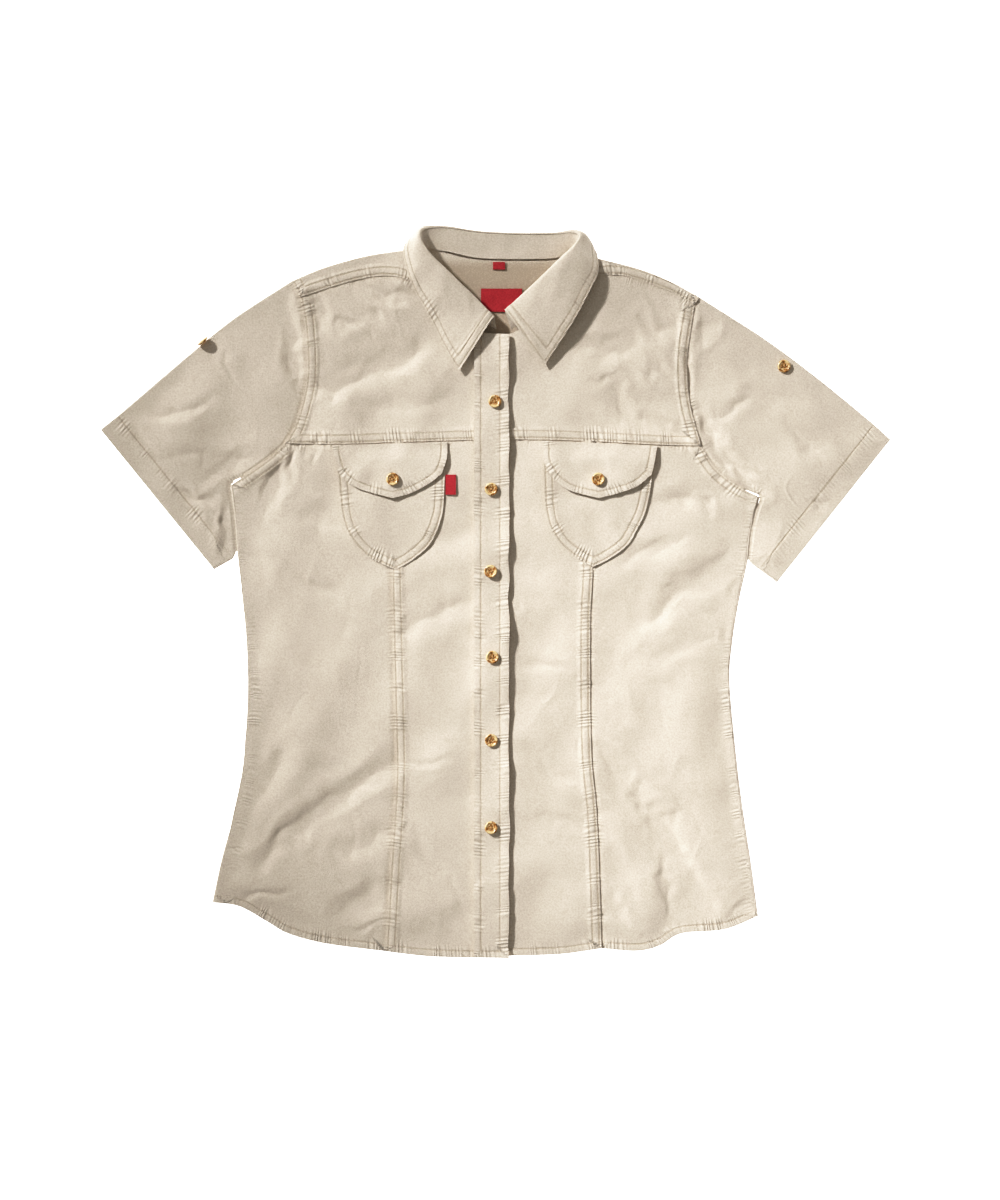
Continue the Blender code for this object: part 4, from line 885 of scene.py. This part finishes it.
def placket_mid(x, y):
    """The placket's middle: on both fronts, its free edge standing a little proud in lobes."""
    free = ramp(x, 0, PLACKET_LEFT + PLACKET_WIDTH)
    lobes = 1.3 + 0.9 * noise(y, y * 0, 61, 58) + 0.35 * noise(y, y * 0, 62, 21)
    tack = np.ones(np.shape(y))
    for _, button_y in PLACKET_BUTTONS:
        tack = tack * (1 - 0.55 * np.exp(-((y - button_y) / 14) ** 2))
    return front_top(x, y) + CLEAR_ON_PANEL + 0.1 + PLACKET_WALL / 2 + free * np.maximum(1.0, lobes) * tack


def make_placket(cloth):
    right = PLACKET_LEFT + PLACKET_WIDTH
    rows = 300
    sewn_edge = [(PLACKET_LEFT, -366.0), (PLACKET_LEFT, 258)]
    free_edge = [(right, -366.4), (right, 256)]
    left_line = spaced(sewn_edge, rows)
    right_line = spaced(free_edge, rows)
    wobble = 0.45 * noise(right_line[:, 1], right_line[:, 1] * 0, 63, 45)
    right_line[:, 0] += wobble
    bottom = spaced([left_line[0], right_line[0]], 18)
    top = spaced([left_line[-1], right_line[-1]], 18)
    grid = coons(bottom, top, left_line, right_line)
    seams = [Seam(sewn_edge, rows=(7.0,), rise=0.15, width=7.5, pucker=0.9),
             Seam(free_edge, rows=(9.0,), rise=0.15, width=9.5, pucker=1.0),
             Seam([sewn_edge[0], free_edge[0]], rows=(6.6,), rise=0.2, width=7.4, pucker=1.2)]
    return panel("placket", grid, cloth, seams, placket_mid, PLACKET_WALL)


def pocket_mid(x, y):
    return front_top(x, y) + CLEAR_ON_PANEL + HALF + 0.25 * noise(x, y, 71, 34)


def flap_mid(x, y):
    """Flat on the panel at the chest seam, on the pocket below, a little fuller mid-way."""
    over_pocket = ramp(-y, -146, -POCKET_TOP - 2)
    fuller = 0.8 * ramp(-y, -140, -105) + 0.3 * noise(x, y, 72, 30)
    return front_top(x, y) + CLEAR_ON_PANEL + HALF + (CLOTH + 0.8) * over_pocket + fuller


def patch_grid(outline, across, rows):
    """A pocket's or flap's plan grid, its point a shared corner of the lower edge."""
    left = spaced(outline["side_left"], rows)[::-1]
    right = spaced(outline["side_right"], rows)[::-1]
    lower = joined(spaced(outline["lower"], across), spaced(outline["lower_right"], across))
    upper = spaced([left[-1], right[-1]], 2 * across)
    return coons(lower, upper, left, right)


def patch_border(outline):
    return joined(smooth_line(outline["side_left"], 5), smooth_line(outline["lower"], 5),
                  smooth_line(outline["lower_right"], 5), smooth_line(outline["side_right"], 5)[::-1])


def make_pockets(cloth):
    made = []
    for name, outline in (("left", POCKET_LEFT), ("right", POCKET_RIGHT)):
        made.append(panel("pocket_" + name, patch_grid(outline, 28, 50), cloth,
                          [Seam(patch_border(outline), rise=0.25)], pocket_mid))
    for name, outline in (("left", FLAP_LEFT), ("right", FLAP_RIGHT)):
        grid = patch_grid(outline, 30, 30)
        grid[-1, :, 1] -= 0.5
        made.append(panel("flap_" + name, grid, cloth,
                          [Seam(patch_border(outline), rows=(6.0,), rise=0.2, width=6.8)], flap_mid))
    return made


def button_mesh(material):
    """A turned disc with a raised rim and four sewing holes, as a polar grid."""
    radii = np.r_[0.05, np.linspace(0.5, 3.6, 12), np.linspace(3.8, 6.5, 14)]
    profile_r = [0, 3.4, 4.2, 4.9, 5.6, 6.2, 6.5]
    profile_z = [1.75, 1.75, 2.05, 2.55, 2.6, 2.25, 1.6]
    angles = np.linspace(0, 2 * math.pi, 73)[:-1]
    r, a = np.meshgrid(radii, angles, indexing="ij")
    z = np.interp(r, profile_r, profile_z)
    x = r * np.cos(a)
    y = r * np.sin(a)
    for hx, hy in ((1.25, 1.25), (-1.25, 1.25), (1.25, -1.25), (-1.25, -1.25)):
        z = z - 1.3 * (1 - ramp(np.hypot(x - hx, y - hy), 0.55, 0.95))
    top = np.stack([x, y, z], axis=-1)
    under_ring = [(6.5, 1.2), (6.1, 0.5), (4.2, 0.05), (0.05, 0.0)]
    low = np.array([[(pr * math.cos(t), pr * math.sin(t), pz) for t in angles] for pr, pz in under_ring])
    grid = np.vstack([top, low])
    faces = grid_faces(*grid.shape[:2], closed=True).tolist()
    columns = len(angles)
    faces.append(list(range(columns))[::-1])
    faces.append(list(range((len(grid) - 1) * columns, len(grid) * columns)))
    mesh = bpy.data.meshes.new("button")
    mesh.from_pydata((grid.reshape(-1, 3) * MM).tolist(), [], faces)
    mesh.flip_normals()
    mesh.shade_smooth()
    mesh.set_sharp_from_angle(angle=math.radians(60))
    mesh.materials.append(material)
    return mesh


def resting_height(height, x, y, half_wall):
    """The highest point of the cloth that a button at this place touches."""
    angles = np.linspace(0, 2 * math.pi, 13)
    xs = x + BUTTON_RADIUS * 0.65 * np.cos(angles)
    ys = y + BUTTON_RADIUS * 0.65 * np.sin(angles)
    return float(np.max(height(xs, ys))) + half_wall + LAYER_GAP


def make_buttons(horn):
    mesh = button_mesh(horn)
    rng = np.random.default_rng(5)
    places = {}
    for number, (x, y) in enumerate(PLACKET_BUTTONS, 1):
        places["button_front_%d" % number] = (x, y, resting_height(placket_mid, x, y, PLACKET_WALL / 2))
    for side, (x, y) in FLAP_BUTTONS.items():
        places["button_flap_" + side] = (x, y, resting_height(flap_mid, x, y, HALF))
    x, y = SLEEVE_BUTTON_RIGHT
    places["button_sleeve_right"] = (x, y, resting_height(front_mid, x, y, HALF))
    items = []
    for name, place in places.items():
        item = bpy.data.objects.new(name, mesh.copy())
        item.rotation_euler = (rng.uniform(-0.05, 0.05), rng.uniform(-0.05, 0.05), rng.uniform(0, 6.28))
        item.location = [value * MM for value in place]
        items.append(item)
    fold = spaced(SLEEVE_TOP_LEFT, 200)
    at = int(np.argmin(np.abs(fold[:, 0] - SLEEVE_BUTTON_LEFT_X)))
    edge = fold[at + 1] - fold[at - 1]
    edge /= np.linalg.norm(edge)
    stand_off = BUTTON_RADIUS * math.sin(SLEEVE_BUTTON_TILT) + SLEEVE_BUTTON_FLOOR
    item = bpy.data.objects.new("button_sleeve_left", mesh.copy())
    item.rotation_mode = "AXIS_ANGLE"
    item.rotation_axis_angle = (SLEEVE_BUTTON_TILT, *edge, 0)
    item.location = [fold[at][0] * MM, fold[at][1] * MM, stand_off * MM]
    items.append(item)
    for item in items:
        bpy.context.scene.collection.objects.link(item)
        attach(item, "root")
        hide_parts(item.name.split(".")[0])
    return items


def make_labels(red):
    items = []
    for name, sizes, layer in (("neck_label", NECK_LABEL, back_mid), ("size_tab", SIZE_TAB, back_mid),
                               ("pocket_tab", POCKET_TAB, front_mid)):
        x0, x1 = sizes["x"]
        y0, y1 = sizes["y"]
        across = int((x1 - x0) / 0.8)
        rows = int((y1 - y0) / 0.8)
        grid = coons(spaced([(x0, y0), (x1, y0)], across), spaced([(x0, y1), (x1, y1)], across),
                     spaced([(x0, y0), (x0, y1)], rows), spaced([(x1, y0), (x1, y1)], rows))
        wall = sizes["wall"]
        rest = HALF + LABEL_GAP + wall / 2
        items.append(panel(name, grid, red, [],
                           lambda x, y: layer(x, y) + rest + 0.12 * noise(x, y, 81, 12), wall))
    return items


def stitches(paths, thread, name="stitching", pitch=3.0, length=2.2, radius=0.24):
    """Short rounded stitches laid along each path in space, as one mesh."""
    ring = 6
    angles = np.linspace(0, 2 * math.pi, ring + 1)[:-1]
    shape = [(-0.5, 0.35, -0.22), (-0.3, 0.95, 0.0), (0.3, 0.95, 0.0), (0.5, 0.35, -0.22)]
    points = []
    faces = []
    for path in paths:
        path = np.asarray(path, float)
        run = np.r_[0, np.cumsum(np.linalg.norm(np.diff(path, axis=0), axis=1))]
        for start in np.arange(pitch * 0.3, run[-1] - length, pitch):
            a = np.array([np.interp(start, run, path[:, k]) for k in range(3)])
            b = np.array([np.interp(start + length, run, path[:, k]) for k in range(3)])
            way = (b - a) / np.linalg.norm(b - a)
            side = np.cross([0, 0, 1.0], way)
            side /= np.linalg.norm(side)
            over = np.cross(way, side)
            first = len(points)
            for t, size, drop in shape:
                centre = (a + b) / 2 + way * (t * length) + over * drop
                for angle in angles:
                    points.append(centre + radius * size * (side * math.cos(angle) + over * math.sin(angle)))
            for k in range(3):
                for i in range(ring):
                    j = (i + 1) % ring
                    faces.append((first + k * ring + i, first + k * ring + j,
                                  first + (k + 1) * ring + j, first + (k + 1) * ring + i))
            faces.append(tuple(first + i for i in range(ring))[::-1])
            faces.append(tuple(first + 3 * ring + i for i in range(ring)))
    mesh = bpy.data.meshes.new(name)
    mesh.from_pydata((np.array(points) * MM).tolist(), [], faces)
    mesh.shade_smooth()
    return link(name, mesh, thread)


def offset_line(line, distance, inside):
    """A line moved sideways towards the side where the point inside lies."""
    line = np.asarray(line, float)
    line = line[np.r_[True, np.linalg.norm(np.diff(line, axis=0), axis=1) > 1e-6]]
    along = np.gradient(line, axis=0)
    side = np.column_stack([-along[:, 1], along[:, 0]])
    side /= np.linalg.norm(side, axis=1)[:, None]
    middle = len(line) // 2
    if np.dot(side[middle], np.asarray(inside, float) - line[middle]) < 0:
        side = -side
    return line + side * distance


# A place inside each piece that carries stitch rows
CENTRES = {
    "front_side_left": (-170, -100), "front_side_right": (165, -100),
    "front_centre_left": (-60, -100), "front_centre_right": (50, -100),
    "front_upper_left": (-110, 210), "front_upper_right": (110, 210),
    "strip_left": (-130, 322), "strip_right": (140, 316), "sleeve_left": (-290, 150),
    "sleeve_right": (290, 150), "placket": (-4, -50), "pocket_left": (-104, 85),
    "pocket_right": (100, 85), "flap_left": (-105, 125), "flap_right": (104, 125),
}


def seam_paths():
    """Every stitch row of the flat pieces, in space."""
    paths = []
    for name, (height, seams, wall) in PLACES.items():
        if name not in CENTRES:
            continue
        for seam in seams:
            for row in seam.rows:
                fine = smooth_line(seam.line, 2) if len(seam.line) < 4 else seam.line
                count = max(3, int(np.sum(np.linalg.norm(np.diff(fine, axis=0), axis=1)) / 3))
                plan = offset_line(resampled(fine, count), row, CENTRES[name])
                extra = sewn(plan[:, 0], plan[:, 1], seams)[0]
                z = height(plan[:, 0], plan[:, 1]) + extra + wall / 2 + THREAD_PROUD
                paths.append(np.column_stack([plan, z]))
    return paths


def resampled(line, count):
    line = np.asarray(line, float)
    run = np.r_[0, np.cumsum(np.linalg.norm(np.diff(line, axis=0), axis=1))]
    at = np.linspace(0, run[-1], count + 1)
    return np.column_stack([np.interp(at, run, line[:, k]) for k in range(line.shape[1])])


def new_material(name, roughness):
    material = bpy.data.materials.new(name)
    material.use_nodes = True
    nodes = material.node_tree.nodes
    shader = nodes["Principled BSDF"]
    shader.inputs["Roughness"].default_value = roughness
    return material, nodes, material.node_tree.links.new, shader


def add_node(nodes, kind, **values):
    node = nodes.new(kind)
    for key, value in values.items():
        if key in node.inputs:
            node.inputs[key].default_value = value
        else:
            setattr(node, key, value)
    return node


def mixed(nodes, wire, factor, a, b, mode="MIX"):
    """A colour mix; a and b are sockets or colours, factor a socket or a number."""
    mix = nodes.new("ShaderNodeMix")
    mix.data_type = "RGBA"
    mix.blend_type = mode
    for index, value in ((0, factor), (6, a), (7, b)):
        if isinstance(value, bpy.types.NodeSocket):
            wire(value, mix.inputs[index])
        else:
            mix.inputs[index].default_value = value
    return mix.outputs[2]


def sum_of(nodes, wire, a, b, kind="ADD"):
    node = nodes.new("ShaderNodeMath")
    node.operation = kind
    for index, value in ((0, a), (1, b)):
        if isinstance(value, bpy.types.NodeSocket):
            wire(value, node.inputs[index])
        else:
            node.inputs[index].default_value = value
    return node.outputs[0]


# TWILL is the cloth's colour; TWILL_DEEP is the darker tone that dye mottle and grain reach, and that
# painted shade mixes towards
TWILL = (0.840, 0.765, 0.665, 1)
TWILL_DEEP = (0.500, 0.415, 0.315, 1)


def noise_node(nodes, wire, place, scale, detail=2.0, distortion=0.0):
    node = add_node(nodes, "ShaderNodeTexNoise", Scale=scale, Detail=detail, Distortion=distortion)
    wire(place, node.inputs["Vector"])
    return node.outputs["Fac"]


def attribute(nodes, name):
    return add_node(nodes, "ShaderNodeAttribute", attribute_name=name).outputs["Fac"]


def bell(nodes, wire, value, width):
    """1 where the value is 0, falling off over a width."""
    scaled = sum_of(nodes, wire, value, 1 / width, "MULTIPLY")
    square = sum_of(nodes, wire, scaled, scaled, "MULTIPLY")
    return sum_of(nodes, wire, math.e, sum_of(nodes, wire, square, -1.0, "MULTIPLY"), "POWER")


def bump_node(nodes, wire, height, distance, below=None):
    node = add_node(nodes, "ShaderNodeBump", Strength=1.0, Distance=distance)
    wire(height, node.inputs["Height"])
    if below is not None:
        wire(below, node.inputs["Normal"])
    return node.outputs["Normal"]


def twill_material(name="twill", colour=TWILL, deep=TWILL_DEEP, period=0.0012):
    """Washed cotton twill: diagonal weave, mottled dye, painted shade in the stitch grooves, fine seam
    puckers with painted light and shade on them, and the painted shade that the shade note carries.
    """
    material, nodes, wire, shader = new_material(name, 0.92)
    shader.inputs["Sheen Weight"].default_value = 0.15
    shader.inputs["Sheen Roughness"].default_value = 0.6
    shader.inputs["Specular IOR Level"].default_value = 0.2
    place = add_node(nodes, "ShaderNodeTexCoord").outputs["Object"]
    broad = noise_node(nodes, wire, place, 12.0, 3.0)
    mottle = noise_node(nodes, wire, place, 130.0, 4.0)
    grain = noise_node(nodes, wire, place, 620.0, 3.0)
    turn = add_node(nodes, "ShaderNodeMapping")
    turn.inputs["Rotation"].default_value = (0, 0, math.radians(38))
    wire(place, turn.inputs["Vector"])
    weave = add_node(nodes, "ShaderNodeTexWave", Distortion=2.5, Detail=2.0)
    weave.inputs["Scale"].default_value = 1 / (period * 3.18)
    weave.inputs["Detail Scale"].default_value = 1.5
    wire(turn.outputs["Vector"], weave.inputs["Vector"])
    weave = weave.outputs["Fac"]
    row_a = bell(nodes, wire, attribute(nodes, "row_a"), 0.75)
    row_b = bell(nodes, wire, attribute(nodes, "row_b"), 0.75)
    rows = sum_of(nodes, wire, row_a, row_b, "MAXIMUM")
    ripple = add_node(nodes, "ShaderNodeMath", operation="SINE")
    wire(attribute(nodes, "phase"), ripple.inputs[0])
    ripple = sum_of(nodes, wire, ripple.outputs[0], attribute(nodes, "amount"), "MULTIPLY")
    # painted shade: the stitch rows darken the colour as their grooves' shade would
    shade = sum_of(nodes, wire, rows, 0.48, "MULTIPLY")
    # the ripple's weight paints light and shade across the seam puckers and the shade note's weight paints
    # shade; broad, mottle, grain and weave are the cloth's own tone
    for part, weight in ((broad, 0.16), (mottle, 0.20), (grain, 1.35), (weave, 0.16), (ripple, -0.13),
                         (attribute(nodes, "shade"), 0.75)):
        shade = sum_of(nodes, wire, shade, sum_of(nodes, wire, part, weight, "MULTIPLY"))
    spread = add_node(nodes, "ShaderNodeMapRange")
    spread.inputs["From Min"].default_value = 0.62
    spread.inputs["From Max"].default_value = 1.75
    wire(shade, spread.inputs["Value"])
    wire(mixed(nodes, wire, spread.outputs["Result"], colour, deep), shader.inputs["Base Color"])
    normal = bump_node(nodes, wire, ripple, 0.00026)
    normal = bump_node(nodes, wire, sum_of(nodes, wire, rows, -1.0, "MULTIPLY"), 0.00040, normal)
    normal = bump_node(nodes, wire, noise_node(nodes, wire, place, 55.0, 2.0), 0.0005, normal)
    normal = bump_node(nodes, wire, sum_of(nodes, wire, weave, grain), 0.00022, normal)
    wire(normal, shader.inputs["Normal"])
    return material


def horn_material():
    """Tortoise-pattern resin: amber and cream clouds in dark brown."""
    material, nodes, wire, shader = new_material("button", 0.26)
    place = add_node(nodes, "ShaderNodeTexCoord").outputs["Object"]
    clouds = add_node(nodes, "ShaderNodeTexNoise", Scale=230.0, Detail=3.0, Distortion=1.2)
    wire(place, clouds.inputs["Vector"])
    ramp_node = add_node(nodes, "ShaderNodeValToRGB")
    stops = ramp_node.color_ramp.elements
    stops[0].position = 0.34
    stops[0].color = (0.085, 0.030, 0.010, 1)
    stops[1].position = 0.58
    stops[1].color = (0.80, 0.62, 0.34, 1)
    middle = stops.new(0.45)
    middle.color = (0.46, 0.22, 0.065, 1)
    wire(clouds.outputs["Fac"], ramp_node.inputs["Fac"])
    wire(ramp_node.outputs["Color"], shader.inputs["Base Color"])
    fine = add_node(nodes, "ShaderNodeTexNoise", Scale=900.0, Detail=2.0)
    wire(place, fine.inputs["Vector"])
    bump = add_node(nodes, "ShaderNodeBump", Strength=0.3, Distance=0.00003)
    wire(fine.outputs["Fac"], bump.inputs["Height"])
    wire(bump.outputs["Normal"], shader.inputs["Normal"])
    return material


def floor_material():
    """A pale, evenly lit backdrop with the faintest tooth."""
    material, nodes, wire, shader = new_material("backdrop", 0.9)
    place = add_node(nodes, "ShaderNodeTexCoord").outputs["Object"]
    tooth = noise_node(nodes, wire, place, 20.0)
    tone = mixed(nodes, wire, tooth, (0.93, 0.93, 0.93, 1), (0.95, 0.95, 0.95, 1))
    wire(tone, shader.inputs["Base Color"])
    wire(tone, shader.inputs["Emission Color"])
    shader.inputs["Emission Strength"].default_value = 2.2
    return material


def spot_light(name, place, target, radius, half_angle, power, colour=(1, 1, 1)):
    """A soft-edged lamp, brightest where it is aimed."""
    light = bpy.data.lights.new(name, "SPOT")
    light.shadow_soft_size = radius
    light.spot_size = math.radians(2 * half_angle)
    light.spot_blend = 1.0
    light.energy = power
    light.color = colour
    item = bpy.data.objects.new(name, light)
    item.location = place
    way = np.array(place) - np.array(target)
    tilt = math.atan2(math.hypot(way[0], way[1]), way[2])
    item.rotation_euler = (tilt, 0, math.atan2(way[1], way[0]) + math.pi / 2)
    bpy.context.scene.collection.objects.link(item)
    return item


TONE_WHITE = 1.25      # scene brightness that the photograph shows as pure white
TONE_CURVE = [(0.05, 0.03), (0.15, 0.115), (0.3, 0.265), (0.5, 0.50), (0.75, 0.765), (1.0, 0.94)]


def set_stage():
    mesh = bpy.data.meshes.new("backdrop")
    reach = 3.0
    corners = [(-reach, -reach, 0), (reach, -reach, 0), (reach, reach, 0), (-reach, reach, 0)]
    mesh.from_pydata(corners, [], [(0, 1, 2, 3)])
    mesh.materials.append(floor_material())
    floor = bpy.data.objects.new("backdrop", mesh)
    floor.location = (0, 0, -BEHIND_FLOOR)
    bpy.context.scene.collection.objects.link(floor)
    spot_light("key", (-3.6, 2.9, 2.7), (0.597, -0.407, 0), 0.30, 7.4, 2650, (1, 1, 1))
    world = bpy.data.worlds.new("surround")
    world.use_nodes = True
    world.node_tree.nodes["Background"].inputs["Color"].default_value = (1, 0.94, 0.86, 1)
    world.node_tree.nodes["Background"].inputs["Strength"].default_value = 0.30
    bpy.context.scene.world = world
    camera = bpy.data.cameras.new("camera")
    camera.lens = 90
    camera.sensor_fit = "VERTICAL"
    camera.sensor_height = 36
    camera.clip_start = 0.1
    camera.clip_end = 20
    item = bpy.data.objects.new("camera", camera)
    item.location = (0.0045, -0.009, 3.0)
    bpy.context.scene.collection.objects.link(item)
    bpy.context.scene.camera = item
    settings = bpy.context.scene.view_settings
    settings.view_transform = "Standard"
    settings.look = "None"
    settings.use_curve_mapping = True
    tone = settings.curve_mapping
    tone.white_level = (TONE_WHITE, TONE_WHITE, TONE_WHITE)
    curve = tone.curves[3]
    for light_in, light_out in TONE_CURVE:
        curve.points.new(light_in / TONE_WHITE, light_out)
    tone.update()


def main():
    cloth = twill_material()
    red = twill_material("label", (0.56, 0.045, 0.06, 1), (0.36, 0.02, 0.03, 1), 0.0007)
    thread, nodes, wire, shader = new_material("thread", 0.8)
    place = add_node(nodes, "ShaderNodeTexCoord").outputs["Object"]
    ply = add_node(nodes, "ShaderNodeTexNoise", Scale=1500.0)
    wire(place, ply.inputs["Vector"])
    wire(mixed(nodes, wire, ply.outputs["Fac"], (0.74, 0.66, 0.54, 1), (0.60, 0.51, 0.39, 1)),
         shader.inputs["Base Color"])
    pieces = [make_back(cloth), make_yoke(cloth)] + make_fronts(cloth)
    for name, arm, top, by_body, underarm, cuff in (
            ("left", ARMHOLE_LEFT, SLEEVE_TOP_LEFT, SLEEVE_BY_BODY_LEFT, UNDERARM_LEFT, CUFF_LEFT),
            ("right", ARMHOLE_RIGHT, SLEEVE_TOP_RIGHT, SLEEVE_BY_BODY_RIGHT, UNDERARM_RIGHT, CUFF_RIGHT)):
        pieces.append(make_sleeve(name, arm, top, by_body, underarm, cuff, cloth))
    collar, collar_rows = make_collar(cloth)
    pieces += collar + [make_placket(cloth)] + make_pockets(cloth)
    labels = make_labels(red)
    make_buttons(horn_material())
    sewing = stitches(seam_paths() + collar_rows, thread)
    for item in pieces + labels:
        node = item.name.split(".")[0]
        item.data.name = node
        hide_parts(node)
    set_stage()


main()
